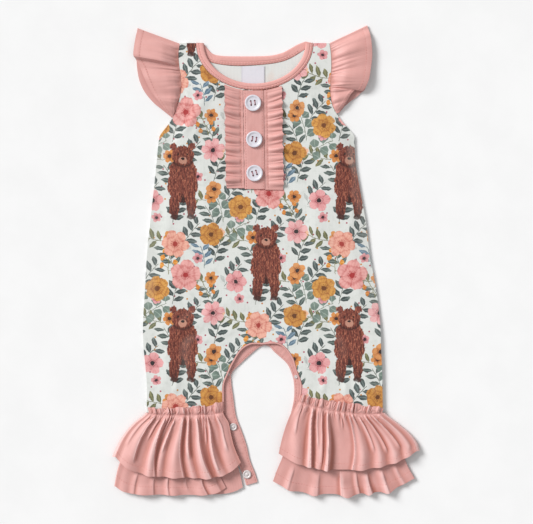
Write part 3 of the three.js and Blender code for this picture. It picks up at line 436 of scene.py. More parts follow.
def front_height(x: np.ndarray, y: np.ndarray) -> np.ndarray:
    """Height of the front's lower face above the floor, with its soft creases.

    Args:
        x: places across.
        y: places up the garment.

    Returns:
        Heights in millimetres.
    """
    left, right = side_at(-1, y), side_at(1, y)
    rims = (
        smooth((x - left) / CROWN_FADE)
        * smooth((right - x) / CROWN_FADE)
        * smooth((NECK_Y - y) / CROWN_FADE)
        * smooth((y + 92) / 60)
    )
    creases = 0.22 * ripple(x / 17, y / 23, 3) + 0.1 * ripple(x / 7, y / 9, 4)
    for crease in CREASES.each() + FINE_CREASES.each():
        turn = math.radians(crease["angle"])
        along = (x - crease["x"]) * math.cos(turn) + (y - crease["y"]) * math.sin(turn)
        across = (y - crease["y"]) * math.cos(turn) - (x - crease["x"]) * math.sin(turn)
        creases = creases + crease["rise"] * bell(along / crease["length"]) * bell(across / crease["width"])
    seams = smooth((x - left) / 12) * smooth((right - x) / 12) * smooth((y + 146) / 14)
    return LAYER + LAYER * smooth((-50 - y) / 38) + CROWN_RISE * rims + creases * seams


@dataclass
class Patch:
    """A grid of cloth: paired outer and inner points with their place on the flat cloth in millimetres."""

    outer: np.ndarray
    inner: np.ndarray
    flat: np.ndarray
    flip: bool = False
    window: int = 8

    def relief(self) -> np.ndarray:
        """How far each point stands above its surroundings, from -1 in a valley to 1 on a ridge."""
        z = self.outer[..., 2]
        size = self.window
        padded = np.pad(z, ((0, 0), (size, size)), mode="edge")
        total = np.cumsum(np.pad(padded, ((0, 0), (1, 0))), axis=1)
        mean = (total[:, 2 * size + 1 :] - total[:, : -2 * size - 1]) / (2 * size + 1)
        return np.clip((z - mean) / 1.6, -1, 1)


def run_along(line: np.ndarray) -> np.ndarray:
    """How far along a line each of its points is."""
    return np.concatenate([[0], np.cumsum(np.linalg.norm(np.diff(line, axis=0), axis=-1))])


def thicken(lower: np.ndarray, thickness: Union[float, np.ndarray]) -> tuple[np.ndarray, np.ndarray]:
    """Gives a grid of lower-face points a thickness that grows a little where the cloth is steep.

    Args:
        lower: rows, columns, xyz.
        thickness: cloth thickness in millimetres, one for all or one for each point.

    Returns:
        The upper points and the lower points.
    """

    def slope(axis: int) -> np.ndarray:
        """How steep the cloth is along one direction of the grid.

        Args:
            axis: 0 down the rows, 1 along them.

        Returns:
            Rise over run at each point.
        """
        count = lower.shape[axis]
        near = np.take(lower, np.maximum(np.arange(count) - 1, 0), axis)
        far = np.take(lower, np.minimum(np.arange(count) + 1, count - 1), axis)
        run = np.linalg.norm((far - near)[..., :2], axis=-1)
        return (far - near)[..., 2] / np.maximum(0.01, run)

    steep = np.minimum(STEEP_LIMIT, np.sqrt(1 + slope(0) ** 2 + slope(1) ** 2))
    upper = lower.copy()
    upper[..., 2] += thickness * steep
    return upper, lower


def finish_mesh(name: str, mesh: bpy.types.Mesh) -> bpy.types.Object:
    """Puts a finished mesh in the scene as an object at the origin."""
    mesh.name = name
    obj = bpy.data.objects.new(name, mesh)
    bpy.context.scene.collection.objects.link(obj)
    return obj


def cloth_object(name: str, patches: Sequence[Patch]) -> bpy.types.Object:
    """Joins patches of paired points into one closed sheet of cloth.

    Patches that share points are joined there, and every free edge is closed by a wall. Faces of the outer points
    have material 0, the inner faces and the walls material 1.

    Args:
        name: the piece's name.
        patches: the sheet's patches.

    Returns:
        The new object, with a UV map in metres of flat cloth and a "fold" attribute.
    """
    outer = np.concatenate([p.outer.reshape(-1, 3) for p in patches])
    inner = np.concatenate([p.inner.reshape(-1, 3) for p in patches])
    flat = np.concatenate([p.flat.reshape(-1, 2) for p in patches])
    relief = np.concatenate([p.relief().ravel() for p in patches])
    key = np.round(np.hstack([outer, inner]) * 1000).astype(np.int64)
    _, first, index = np.unique(key, axis=0, return_index=True, return_inverse=True)
    index = index.ravel()
    outer, inner, flat, relief = outer[first], inner[first], flat[first], relief[first]
    quads, start = [], 0
    for patch in patches:
        rows, columns = patch.outer.shape[:2]
        grid = index[start : start + rows * columns].reshape(rows, columns)
        start += rows * columns
        quad = np.stack([grid[:-1, :-1], grid[:-1, 1:], grid[1:, 1:], grid[1:, :-1]], -1).reshape(-1, 4)
        quads.append(quad[:, ::-1] if patch.flip else quad)
    quads = np.concatenate(quads)
    triangles = np.concatenate([quads[:, [0, 1, 2]], quads[:, [0, 2, 3]]])
    a, b, c = (outer[triangles[:, k]] for k in range(3))
    d, e, f = (inner[triangles[:, k]] for k in range(3))
    volume = np.sum(a * np.cross(b, c)) - np.sum(d * np.cross(e, f))
    edges = np.concatenate([quads[:, [k, (k + 1) % 4]] for k in range(4)])
    edges = edges[edges[:, 0] != edges[:, 1]]
    count = len(outer)
    border = edges[~np.isin(edges[:, 0] * count + edges[:, 1], edges[:, 1] * count + edges[:, 0])]
    walls = np.stack([2 * border[:, 1], 2 * border[:, 0], 2 * border[:, 0] + 1, 2 * border[:, 1] + 1], -1)
    faces = np.concatenate([2 * quads, 2 * quads[:, ::-1] + 1, walls])
    looks = np.concatenate([np.zeros(len(quads), int), np.ones(len(faces) - len(quads), int)])
    if volume < 0:
        faces = faces[:, ::-1]
    points = np.empty((2 * count, 3))
    points[0::2], points[1::2] = outer, inner
    listed, kept = [], []
    for face, look in zip(faces.tolist(), looks.tolist()):
        corners = [v for k, v in enumerate(face) if v != face[k - 1]]
        if len(corners) > 2:
            listed.append(corners)
            kept.append(look)
    mesh = bpy.data.meshes.new(name)
    mesh.from_pydata((points * MM).tolist(), [], listed)
    mesh.polygons.foreach_set("material_index", kept)
    corner = np.empty(len(mesh.loops), int)
    mesh.loops.foreach_get("vertex_index", corner)
    mesh.uv_layers.new(name="UVMap").data.foreach_set("uv", (flat[corner // 2] * MM).ravel())
    mesh.attributes.new("fold", "FLOAT", "POINT").data.foreach_set("value", np.repeat(relief, 2).astype(np.float32))
    mesh.shade_smooth()
    mesh.set_sharp_from_angle(angle=math.radians(55))
    mesh.validate()
    return finish_mesh(name, mesh)


@dataclass
class Wardrobe:
    """Gives each finished piece its body and its materials, hides the CAD part that it stands for, and logs its slot.
    """

    finishes: dict[str, bpy.types.Material]

    def hang(
        self, obj: bpy.types.Object, slot: Slot, materials: Sequence[str], node: Optional[str] = None,
        flat: Optional[tuple[float, float]] = None, held: Hold = Hold.LAID, rests_on: Sequence[str] = (),
        area: Optional[float] = None,
    ) -> bpy.types.Object:
        """Dresses one piece, puts it under the root body and hides the CAD part that it stands for.

        Args:
            obj: the piece.
            slot: the record's slot that its finish stands for.
            materials: names of its finishes, in order.
            node: the CAD node it stands for.
            flat: width and length of its cut in metres, where it is a sheet of cloth. Not used.
            held: how the cloth is held. Not used.
            rests_on: what the cloth lies on. Not used.
            area: area of the cut in square metres, where it isn't a rectangle. Not used.

        Returns:
            The same object.
        """
        if not obj.data.materials:
            for name in materials:
                obj.data.materials.append(self.finishes[name])
        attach(obj, "root")
        if node is not None:
            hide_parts(node)
        LOG.info("%s: %d faces, %s", obj.name, len(obj.data.polygons), slot.value)
        return obj


@dataclass
class StitchRow:
    """A row of stitches: its line in millimetres."""

    points: np.ndarray
    lift: float = 0.12


@dataclass
class Sewing:
    """Lays thread stitches end to end along rows, by one Geometry Nodes tree."""

    wardrobe: Wardrobe
    pitch: float = 3.0
    length: float = 2.3
    thread: float = 0.42
    tree: Optional[bpy.types.GeometryNodeTree] = None

    def grow_tree(self) -> bpy.types.GeometryNodeTree:
        """Builds the tree: path edges to a curve, one slightly uneven stitch at each step along it."""
        tree = bpy.data.node_groups.new("thread stitches", "GeometryNodeTree")
        tree.interface.new_socket("Path", in_out="INPUT", socket_type="NodeSocketGeometry")
        for name in ("Pitch", "Stitch length", "Thread width"):
            tree.interface.new_socket(name, in_out="INPUT", socket_type="NodeSocketFloat")
        tree.interface.new_socket("Thread", in_out="INPUT", socket_type="NodeSocketMaterial")
        tree.interface.new_socket("Stitches", in_out="OUTPUT", socket_type="NodeSocketGeometry")
        given = add_node(tree, "NodeGroupInput").outputs
        curve = add_node(tree, "GeometryNodeMeshToCurve", {"Mesh": given["Path"]})
        steps = add_node(
            tree, "GeometryNodeResampleCurve", {"Curve": curve.outputs["Curve"], "Length": given["Pitch"]},
            mode="LENGTH",
        )
        bead = add_node(tree, "GeometryNodeMeshUVSphere", {"Segments": 6, "Rings": 4, "Radius": 0.5})
        size = add_node(
            tree, "ShaderNodeCombineXYZ",
            {"X": given["Thread width"], "Y": given["Thread width"], "Z": given["Stitch length"]},
        )
        stitch = add_node(
            tree, "GeometryNodeTransform", {"Geometry": bead.outputs["Mesh"], "Scale": size.outputs["Vector"]}
        )
        tangent = add_node(tree, "GeometryNodeInputTangent")
        turn = add_node(tree, "FunctionNodeAlignRotationToVector", {"Vector": tangent.outputs[0]}, axis="Z")
        uneven = add_node(
            tree, "FunctionNodeRandomValue", {"Min": (0.9, 0.9, 0.86), "Max": (1.1, 1.1, 1.04), "Seed": 7},
            data_type="FLOAT_VECTOR",
        )
        laid = add_node(
            tree,
            "GeometryNodeInstanceOnPoints",
            {
                "Points": steps.outputs["Curve"], "Instance": stitch.outputs["Geometry"],
                "Rotation": turn.outputs["Rotation"], "Scale": uneven.outputs["Value"],
            },
        )
        real = add_node(tree, "GeometryNodeRealizeInstances", {"Geometry": laid.outputs["Instances"]})
        dyed = add_node(
            tree, "GeometryNodeSetMaterial", {"Geometry": real.outputs["Geometry"], "Material": given["Thread"]}
        )
        add_node(tree, "NodeGroupOutput", {"Stitches": dyed.outputs["Geometry"]})
        return tree

    def sew(self, name: str, rows: Sequence[StitchRow], slot: Slot, thread: str) -> bpy.types.Object:
        """Sews rows of stitches as one piece.

        Args:
            name: the piece's name.
            rows: the rows.
            slot: the slot that the thread's finish belongs with.
            thread: name of the thread's finish.

        Returns:
            The stitches as a plain mesh.
        """
        if self.tree is None:
            self.tree = self.grow_tree()
        points, edges = [], []
        for row in rows:
            start = len(points)
            points += [(x * MM, y * MM, (z + row.lift) * MM) for x, y, z in row.points.tolist()]
            edges += [(start + k, start + k + 1) for k in range(len(row.points) - 1)]
        path_mesh = bpy.data.meshes.new(name + "_path")
        path_mesh.from_pydata(points, edges, [])
        path = finish_mesh(name + "_path", path_mesh)
        modifier = path.modifiers.new("stitches", "NODES")
        modifier.node_group = self.tree
        values = {
            "Pitch": self.pitch * MM, "Stitch length": self.length * MM, "Thread width": self.thread * MM,
            "Thread": self.wardrobe.finishes[thread],
        }
        for item in self.tree.interface.items_tree:
            if item.name in values and item.in_out == "INPUT":
                modifier[item.identifier] = values[item.name]
        graph = bpy.context.evaluated_depsgraph_get()
        mesh = bpy.data.meshes.new_from_object(path.evaluated_get(graph))
        bpy.data.objects.remove(path)
        bpy.data.meshes.remove(path_mesh)
        mesh.shade_smooth()
        return self.wardrobe.hang(finish_mesh(name, mesh), slot, [thread])


def seam_line(patch: Patch, column: float) -> np.ndarray:
    """Points on a patch's outer face along its rows at one column, which may lie between two."""
    k = min(int(column), patch.outer.shape[1] - 2)
    return mix(patch.outer[:, k], patch.outer[:, k + 1], column - k)


def cross_line(patch: Patch, row: float) -> np.ndarray:
    """Points on a patch's outer face along its columns at one row, which may lie between two."""
    k = min(int(row), patch.outer.shape[0] - 2)
    return mix(patch.outer[k], patch.outer[k + 1], row - k)


@dataclass
class BodyPanels:
    """The printed front, and the back it lies on, whose inside shows at the neck and between the legs."""

    wardrobe: Wardrobe
    columns: int = 44
    neck_rows: int = 40
    body_rows: int = 76
    leg_rows: int = 40
    front_crotch_y: float = -84.0
    back_crotch_y: float = -78.0
    underarm_y: float = 131.5
    front_area: float = 0.0749
    back_area: float = 0.0764

    def half(
        self, side: int, neck: Callable[[np.ndarray], np.ndarray], inseam: Callable[[np.ndarray], np.ndarray],
        crotch_y: float, height: Callable[[np.ndarray, np.ndarray], np.ndarray],
    ) -> Patch:
        """One half of a panel, in rows that run from the neck, centre or inseam line out to the side.

        Args:
            side: -1 for the left half, 1 for the right.
            neck: the neck line from shoulder (0) to centre (1).
            inseam: the inseam line from crotch (0) to leg end (1).
            crotch_y: where the side seam meets the crotch's row.
            height: the lower face's height.

        Returns:
            The half panel.
        """
        t = np.linspace(0, 1, self.neck_rows, endpoint=False)
        inner, outer_y, bow = [neck(t)], [mix(NECK_Y, self.underarm_y, t)], [0 * t]
        t = np.linspace(0, 1, self.body_rows, endpoint=False)
        top, crotch = neck(np.array([1.0]))[0], inseam(np.array([0.0]))[0]
        y = mix(top[1], crotch[1], t)
        x = CENTRE_LINE.read(y)["x"]
        x[0] = top[0]
        inner.append(np.stack([x, y], -1))
        outer_y.append(mix(self.underarm_y, crotch_y, t))
        bow.append(0 * t)
        t = np.linspace(0, 1, self.leg_rows + 1)
        inner.append(inseam(t))
        outer_y.append(mix(crotch_y, LEG_SIDE_Y, t))
        bow.append(LEG_BOW[side] * t * t)
        inner, outer_y, bow = np.concatenate(inner), np.concatenate(outer_y), np.concatenate(bow)
        u = np.linspace(0, 1, self.columns + 1)
        x = mix(inner[:, :1], side_at(side, outer_y)[:, None], u)
        y = mix(inner[:, 1:], outer_y[:, None], u) - bow[:, None] * 4 * u * (1 - u)
        lower = np.stack([x, y, height(x, y)], -1)
        upper, lower = thicken(lower, WALL)
        return Patch(upper, lower, lower[..., :2], side > 0)

    def front(self) -> list[Patch]:
        """Both halves of the front."""
        return [
            self.half(
                side, lambda t, side=side: neck_point(side, t * math.pi / 2, NECK_OUTER, GAP),
                lambda t, side=side: edge_point(CROTCH_FRONT, side, t), self.front_crotch_y, front_height,
            )
            for side in (-1, 1)
        ]

    def back(self) -> list[Patch]:
        """Both halves of the back."""

        def neck(side: int, t: np.ndarray) -> np.ndarray:
            """The seam line of the back neck.

            Args:
                side: -1 for the left half, 1 for the right.
                t: shares from the middle of the neck to its shoulder end.

            Returns:
                Points as x, y.
            """
            row = BACK_NECK.read(1 - t)
            keys = ("seam_l_x", "seam_l_y") if side < 0 else ("seam_r_x", "seam_r_y")
            return np.stack([row[keys[0]], row[keys[1]] - GAP], -1)

        return [
            self.half(
                side,
                lambda t, side=side: neck(side, t),
                lambda t, side=side: offset_from_gap(
                    CROTCH_GAP, side, t * LEG_BACK_SHARE[side], STRIP_WIDTH + GAP
                ),
                self.back_crotch_y,
                lambda x, y: np.zeros_like(x),
            )
            for side in (-1, 1)
        ]

    def build(self) -> None:
        """Builds and dresses both panels."""
        back = cloth_object("romper_back", self.back())
        self.wardrobe.hang(
            back, Slot.PRINT, ["jersey_reverse", "printed_jersey"], "back_panel", flat=(0.255, 0.391),
            rests_on=["floor"], area=self.back_area,
        )
        front = cloth_object("romper_front", self.front())
        self.wardrobe.hang(
            front, Slot.PRINT, ["printed_jersey", "jersey_reverse"], "front_panel", flat=(0.255, 0.391),
            rests_on=["romper_back"], area=self.front_area,
        )


def band(first: np.ndarray, second: np.ndarray, base: np.ndarray, fade: np.ndarray, flip: bool, across: int) -> Patch:
    """A rolled band between two edge lines, flat beneath.

    Args:
        first: one edge, points as x, y.
        second: the other edge.
        base: height of the band's lower face at each point of the grid.
        fade: how much of the roll each cross row has.
        flip: whether the rows run the other way round.
        across: steps across the band.

    Returns:
        The band.
    """
    u = np.linspace(0, 1, across + 1)
    place = mix(first[:, None, :], second[:, None, :], u[None, :, None])
    lower = np.concatenate([place, base[..., None]], -1)
    roll = np.sqrt(np.clip(1 - (2 * u - 1) ** 4, 0, 1))
    upper = lower.copy()
    dip = 1 - 0.55 * (bell((u - 0.62) / 0.06) + bell((u - 0.86) / 0.06))
    upper[..., 2] += WALL * (0.55 + 0.45 * roll) + BINDING_ROLL * fade[:, None] * roll * dip
    run = run_along(first)
    flat = np.stack(np.broadcast_arrays(run[:, None], u[None, :] * 8.0), -1)
    return Patch(upper, lower, flat, flip, window=across)


@dataclass
class NeckTrim:
    """The bound neck edges, front and back, and the woven size label."""

    wardrobe: Wardrobe
    sewing: Sewing
    steps: int = 150
    across: int = 16

    def front_binding(self) -> Patch:
        """The binding round the front neck."""
        turn = np.linspace(0, math.pi, self.steps + 1)
        first, second = neck_point(1, turn, NECK_INNER), neck_point(1, turn, NECK_OUTER)
        place = mix(first[:, None, :], second[:, None, :], np.linspace(0, 1, self.across + 1)[None, :, None])
        base = front_height(place[..., 0], place[..., 1])
        return band(first, second, base, np.ones(len(turn)), False, self.across)

    def back_binding(self) -> list[Patch]:
        """The binding of the back neck, in two halves."""
        halves = []
        for side in (-1, 1):
            s = np.linspace(0, 1, self.steps // 2 + 1)
            row = BACK_NECK.read(s)
            left = ("left_x", "left_y", "seam_l_x", "seam_l_y")
            right = ("right_x", "right_y", "seam_r_x", "seam_r_y")
            edge = left if side < 0 else right
            first = np.stack([row[edge[0]], row[edge[1]]], -1)
            second = np.stack([row[edge[2]], row[edge[3]]], -1)
            fade = smooth((0.62 - s) / 0.15)
            base = np.zeros((len(s), self.across + 1))
            halves.append(band(first, second, base, fade, side > 0, self.across))
        return halves

    def label(self) -> Patch:
        """The woven label, lifting a little at its foot."""
        left, right, top, bottom = LABEL_BOX
        u, v = np.meshgrid(np.linspace(0, 1, 25), np.linspace(0, 1, 27))
        lift = 0.5 * smooth((v - 0.55) / 0.45) * (0.5 + 0.5 * np.cos(2.6 * (u - 0.3)))
        z = LAYER + lift + 0.12 * ripple(3 * u, 3 * v, 9)
        lower = np.stack([mix(left, right, u), mix(top, bottom, v), np.maximum(z, LAYER)], -1)
        upper, lower = thicken(lower, 0.45)
        return Patch(upper, lower, lower[..., :2], True)

    def build(self) -> None:
        """Builds, sews and dresses the neck's pieces."""
        front = self.front_binding()
        self.wardrobe.hang(
            cloth_object("neck_binding_front_rib", [front]),
            Slot.BINDING,
            ["rib_binding", "rib_binding"],
            "neck_binding_front",
            # The band is 8.5 mm wide, but 10 mm is given for its width, so the area alone is true to it. A
            # sheet call takes no width below 10 mm, so the area alone is true to it.
            flat=(0.164, 0.01),
            held=Hold.STRETCHED,
            rests_on=["romper_front"],
            area=0.0014,
        )
        back = self.back_binding()
        self.wardrobe.hang(
            cloth_object("neck_binding_back_rib", back), Slot.BINDING, ["rib_binding", "rib_binding"],
            "neck_binding_back", flat=(0.129, 0.0105), held=Hold.STRETCHED, rests_on=["floor"],
        )
        self.wardrobe.hang(
            cloth_object("size_label", [self.label()]), Slot.LABEL, ["woven_label", "woven_label"], "neck_label",
            flat=(0.0245, 0.0267), rests_on=["romper_back"],
        )
        rows = [StitchRow(seam_line(front, self.across * share)) for share in (0.62, 0.86)]
        rows += [StitchRow(seam_line(half, self.across * share)[:-20]) for half in back for share in (0.7, 0.88)]
        self.sewing.sew("neck_stitches", rows, Slot.BINDING, "pink_thread")


def placket_x(edge: np.ndarray, y: np.ndarray) -> np.ndarray:
    """The placket's edges, which lean very slightly as they run down."""
    return edge + PLACKET_LEAN * (PLACKET_TOP - y) / (PLACKET_TOP - PLACKET_BOTTOM)


@dataclass
class Placket:
    """The button strip, the pleated frills along both its sides, the buttons and their thread."""

    wardrobe: Wardrobe
    sewing: Sewing
    frill_rows: int = 300
    frill_columns: int = 22
    button_sides: int = 56
    hole_radius: float = 1.0
    hole_offset: float = 2.1
    rim: float = 1.7
    dish: float = 0.9

    def strip(self) -> Patch:
        """The button strip, with a pressed edge."""
        u, v = np.meshgrid(np.linspace(0, 1, 23), np.linspace(0, 1, 90))
        y = mix(PLACKET_TOP, PLACKET_BOTTOM, v)
        x = placket_x(mix(PLACKET_LEFT, PLACKET_RIGHT, u), y)
        pucker = 0.16 * ripple(u * 5, v * 17, 21)
        lower = np.stack([x, y, front_height(x, y) + LAYER], -1)
        upper, lower = thicken(lower, WALL)
        near = np.minimum(u, 1 - u) * (PLACKET_RIGHT - PLACKET_LEFT)
        upper[..., 2] += pucker - 0.25 * bell((near - 1.8) / 0.5) - 0.5 * (1 - smooth(near / 0.9))
        return Patch(upper, lower, np.stack([x, y], -1), True)

    def frill(self, side: int, pleats: Table, fine: Table) -> Patch:
        """A frill, sewn flat along the placket and pleated ever higher towards its free edge.

        Args:
            side: -1 for the left frill, 1 for the right.
            pleats: heights of the pleats down the frill and how far they rise.
            fine: smaller pleats between them.

        Returns:
            The frill.
        """
        bottom = FRILL_BOTTOM[side]
        u, t = np.meshgrid(np.linspace(0, 1, self.frill_columns + 1), np.linspace(0, 1, self.frill_rows + 1))
        seam = PLACKET_LEFT - GAP if side < 0 else PLACKET_RIGHT + GAP
        rough_y = mix(PLACKET_TOP, bottom, t)
        wave = sum(p["rise"] * bell((rough_y - p["y"]) / PLEAT_WIDTH) for p in pleats.each())
        crimp = sum(
            p["rise"] * bell((rough_y + p["lean"] * (u - 0.5) - p["y"]) / p["width"]) for p in fine.each()
        )
        wave = wave + crimp + 0.25 * ripple(t * 60, u * 2, 31 + side)
        reach = FRILL_WIDTH * u + 0.32 * wave * u * u
        x = placket_x(seam, rough_y) + side * reach
        drop = np.sqrt(1 - np.minimum(1, ((x - NECK_X) / (NECK_OUTER[0] + 1.2)) ** 2))
        y = mix(NECK_Y - (NECK_OUTER[1] + 1.2) * drop, bottom, t)
        ends = smooth(t / 0.03) * smooth((1 - t) / 0.03)
        rise = wave * mix(0.12, 1, smooth(u / 0.85)) * ends
        pinch = 1 - 0.7 * bell((u - 0.16) / 0.06)
        lower = np.stack([x, y, front_height(x, y) + LAYER + rise * pinch], -1)
        upper, lower = thicken(lower, 0.9)
        run = run_along(lower[:, -1])
        flat = np.stack([np.broadcast_to(run[:, None], u.shape), FRILL_WIDTH * u], -1)
        return Patch(upper, lower, flat, side > 0, window=4)

    def button_top_height(self, x: float, y: float) -> float:
        """Height of the strip's highest point under a button."""
        turn = np.linspace(0, 2 * math.pi, 12, endpoint=False)
        around = front_height(x + BUTTON_RADIUS * np.cos(turn), y + BUTTON_RADIUS * np.sin(turn))
        return float(max(around.max(), front_height(np.array(x), np.array(y)))) + LAYER + WALL

    def button(self, name: str, x: float, y: float, turn: float) -> bpy.types.Object:
        """A four-hole shirt button with a rounded rim and a dished middle.

        Args:
            name: the piece's name.
            x: its middle.
            y: its middle.
            turn: how far its holes are turned, in radians.

        Returns:
            The button.
        """
        top, r = BUTTON_HEIGHT, BUTTON_RADIUS
        profile = [(0, 0), (r - 0.9, 0), (r - 0.25, 0.3), (r, 0.9), (r, top - 0.9), (r - 0.25, top - 0.25)]
        profile += [(r - 0.9, top), (r - self.rim, top - 0.12), (r - self.rim - 0.5, top - 0.5)]
        profile += [(r - self.rim - 1.2, top - self.dish), (r - self.rim - 2.4, top - self.dish - 0.05)]
        profile += [(0, top - self.dish - 0.05)]
        base = self.button_top_height(x, y) + GAP
        body = lathe_object(name, profile, self.button_sides)
        drill_mesh = bpy.data.meshes.new("drill")
        drills = bmesh.new()
        for sx in (-1, 1):
            for sy in (-1, 1):
                made = bmesh.ops.create_cone(
                    drills, cap_ends=True, segments=16, radius1=self.hole_radius * MM,
                    radius2=self.hole_radius * MM, depth=3 * top * MM,
                )
                shift = (sx * self.hole_offset * MM, sy * self.hole_offset * MM, top / 2 * MM)
                bmesh.ops.translate(drills, verts=made["verts"], vec=shift)
        drills.to_mesh(drill_mesh)
        drills.free()
        drill = finish_mesh("drill", drill_mesh)
        cut = body.modifiers.new("holes", "BOOLEAN")
        cut.operation, cut.object, cut.solver = "DIFFERENCE", drill, "EXACT"
        graph = bpy.context.evaluated_depsgraph_get()
        mesh = bpy.data.meshes.new_from_object(body.evaluated_get(graph))
        bpy.data.objects.remove(body)
        bpy.data.objects.remove(drill)
        bpy.data.meshes.remove(drill_mesh)
        co = np.empty(len(mesh.vertices) * 3)
        mesh.vertices.foreach_get("co", co)
        co = co.reshape(-1, 3)
        c, s = math.cos(turn), math.sin(turn)
        turned = np.stack([co[:, 0] * c - co[:, 1] * s, co[:, 0] * s + co[:, 1] * c, co[:, 2]], -1)
        mesh.vertices.foreach_set("co", (turned + np.array([x, y, base]) * MM).ravel())
        mesh.shade_smooth()
        mesh.set_sharp_from_angle(angle=math.radians(40))
        mesh.materials.clear()
        return finish_mesh(name, mesh)

    def thread(self, x: float, y: float, turn: float) -> list[np.ndarray]:
        """The two bars of thread that cross a button between its holes.

        Args:
            x: the button's middle.
            y: the button's middle.
            turn: how far its holes are turned, in radians.

        Returns:
            The middle line of each bar.
        """
        base = self.button_top_height(x, y) + GAP + BUTTON_HEIGHT - self.dish
        bars = []
        for offset in (-self.hole_offset, self.hole_offset):
            along = np.linspace(-self.hole_offset, self.hole_offset, 9)
            z = base + 0.35 - 1.3 * np.abs(along / self.hole_offset) ** 6
            c, s = math.cos(turn), math.sin(turn)
            bars.append(np.stack([x + offset * c - along * s, y + offset * s + along * c, z], -1))
        return bars

    def build(self) -> None:
        """Builds, sews and dresses the placket."""
        strip = self.strip()
        self.wardrobe.hang(
            cloth_object("button_strip", [strip]), Slot.PINK, ["pink_jersey", "pink_jersey"], "placket_strip",
            flat=(0.0217, 0.105), rests_on=["romper_front"],
        )
        rows = [StitchRow(seam_line(strip, share * 22)) for share in (0.083, 0.917)]
        frills = []
        sides = ((-1, "left", PLEATS_LEFT, CRIMPS_LEFT), (1, "right", PLEATS_RIGHT, CRIMPS_RIGHT))
        for side, word, pleats, fine in sides:
            patch = self.frill(side, pleats, fine)
            frills.append(patch)
            self.wardrobe.hang(
                cloth_object(f"frill_{word}", [patch]), Slot.PINK, ["pink_jersey", "pink_jersey"],
                f"placket_frill_{word}", flat=(0.142 if side < 0 else 0.138, 0.0208), held=Hold.GATHERED,
                rests_on=["romper_front"], area=0.00283 if side < 0 else 0.00272,
            )
            rows.append(StitchRow(seam_line(patch, 0.16 * self.frill_columns)))
        self.sewing.sew("placket_stitches", rows, Slot.PINK, "pink_thread")
        bars = []
        for k, (word, x, y) in enumerate(BUTTON_PLACES):
            turn = (0.12, -0.2, 0.3)[k]
            piece = self.button(f"shirt_button_{word}", x, y, turn)
            self.wardrobe.hang(piece, Slot.BUTTON, ["button_plastic"], f"button_{word}")
            bars += self.thread(x, y, turn)
        threads = tube_object("button_thread", bars, 0.42, 8)
        self.wardrobe.hang(threads, Slot.BUTTON, ["rose_thread"])


def lathe_object(name: str, profile: Sequence[tuple[float, float]], sides: int) -> bpy.types.Object:
    """A closed turned shape round the Z axis.

    Args:
        name: the object's name.
        profile: radius and height from the underside's middle to the top's middle, in millimetres.
        sides: steps round.

    Returns:
        The object.
    """
    turn = np.linspace(0, 2 * math.pi, sides, endpoint=False)
    points = [(0.0, 0.0, profile[0][1] * MM)]
    for radius, height in profile[1:-1]:
        points += [(radius * MM * math.cos(a), radius * MM * math.sin(a), height * MM) for a in turn]
    points.append((0.0, 0.0, profile[-1][1] * MM))
    rings = len(profile) - 2
    faces = [(0, 1 + (k + 1) % sides, 1 + k) for k in range(sides)]
    for ring in range(rings - 1):
        a, b = 1 + ring * sides, 1 + (ring + 1) * sides
        faces += [(a + k, a + (k + 1) % sides, b + (k + 1) % sides, b + k) for k in range(sides)]
    last = 1 + (rings - 1) * sides
    faces += [(last + k, last + (k + 1) % sides, len(points) - 1) for k in range(sides)]
    mesh = bpy.data.meshes.new(name)
    mesh.from_pydata(points, [], faces)
    mesh.shade_smooth()
    return finish_mesh(name, mesh)


def tube_object(name: str, paths: Sequence[np.ndarray], radius: float, sides: int) -> bpy.types.Object:
    """Round threads along paths, with closed ends.

    Args:
        name: the object's name.
        paths: their middle lines in millimetres.
        radius: thread radius in millimetres.
        sides: steps round.

    Returns:
        One object of all the threads.
    """
    points, faces = [], []
    for path in paths:
        start = len(points)
        tangent = np.gradient(path, axis=0)
        tangent /= np.linalg.norm(tangent, axis=1, keepdims=True)
        across = np.cross(tangent, (0.0, 0.0, 1.0))
        across /= np.linalg.norm(across, axis=1, keepdims=True)
        upward = np.cross(across, tangent)
        for k in range(len(path)):
            for j in range(sides):
                turn = 2 * math.pi * j / sides
                place = path[k] + radius * (math.cos(turn) * across[k] + math.sin(turn) * upward[k])
                points.append(tuple(place * MM))
        for k in range(len(path) - 1):
            a, b = start + k * sides, start + (k + 1) * sides
            faces += [(a + j, b + j, b + (j + 1) % sides, a + (j + 1) % sides) for j in range(sides)]
        end = start + (len(path) - 1) * sides
        faces += [tuple(start + j for j in range(sides)), tuple(end + sides - 1 - j for j in range(sides))]
    mesh = bpy.data.meshes.new(name)
    mesh.from_pydata(points, [], faces)
    made = bmesh.new()
    made.from_mesh(mesh)
    bmesh.ops.recalc_face_normals(made, faces=made.faces)
    made.to_mesh(mesh)
    made.free()
    mesh.shade_smooth()
    return finish_mesh(name, mesh)


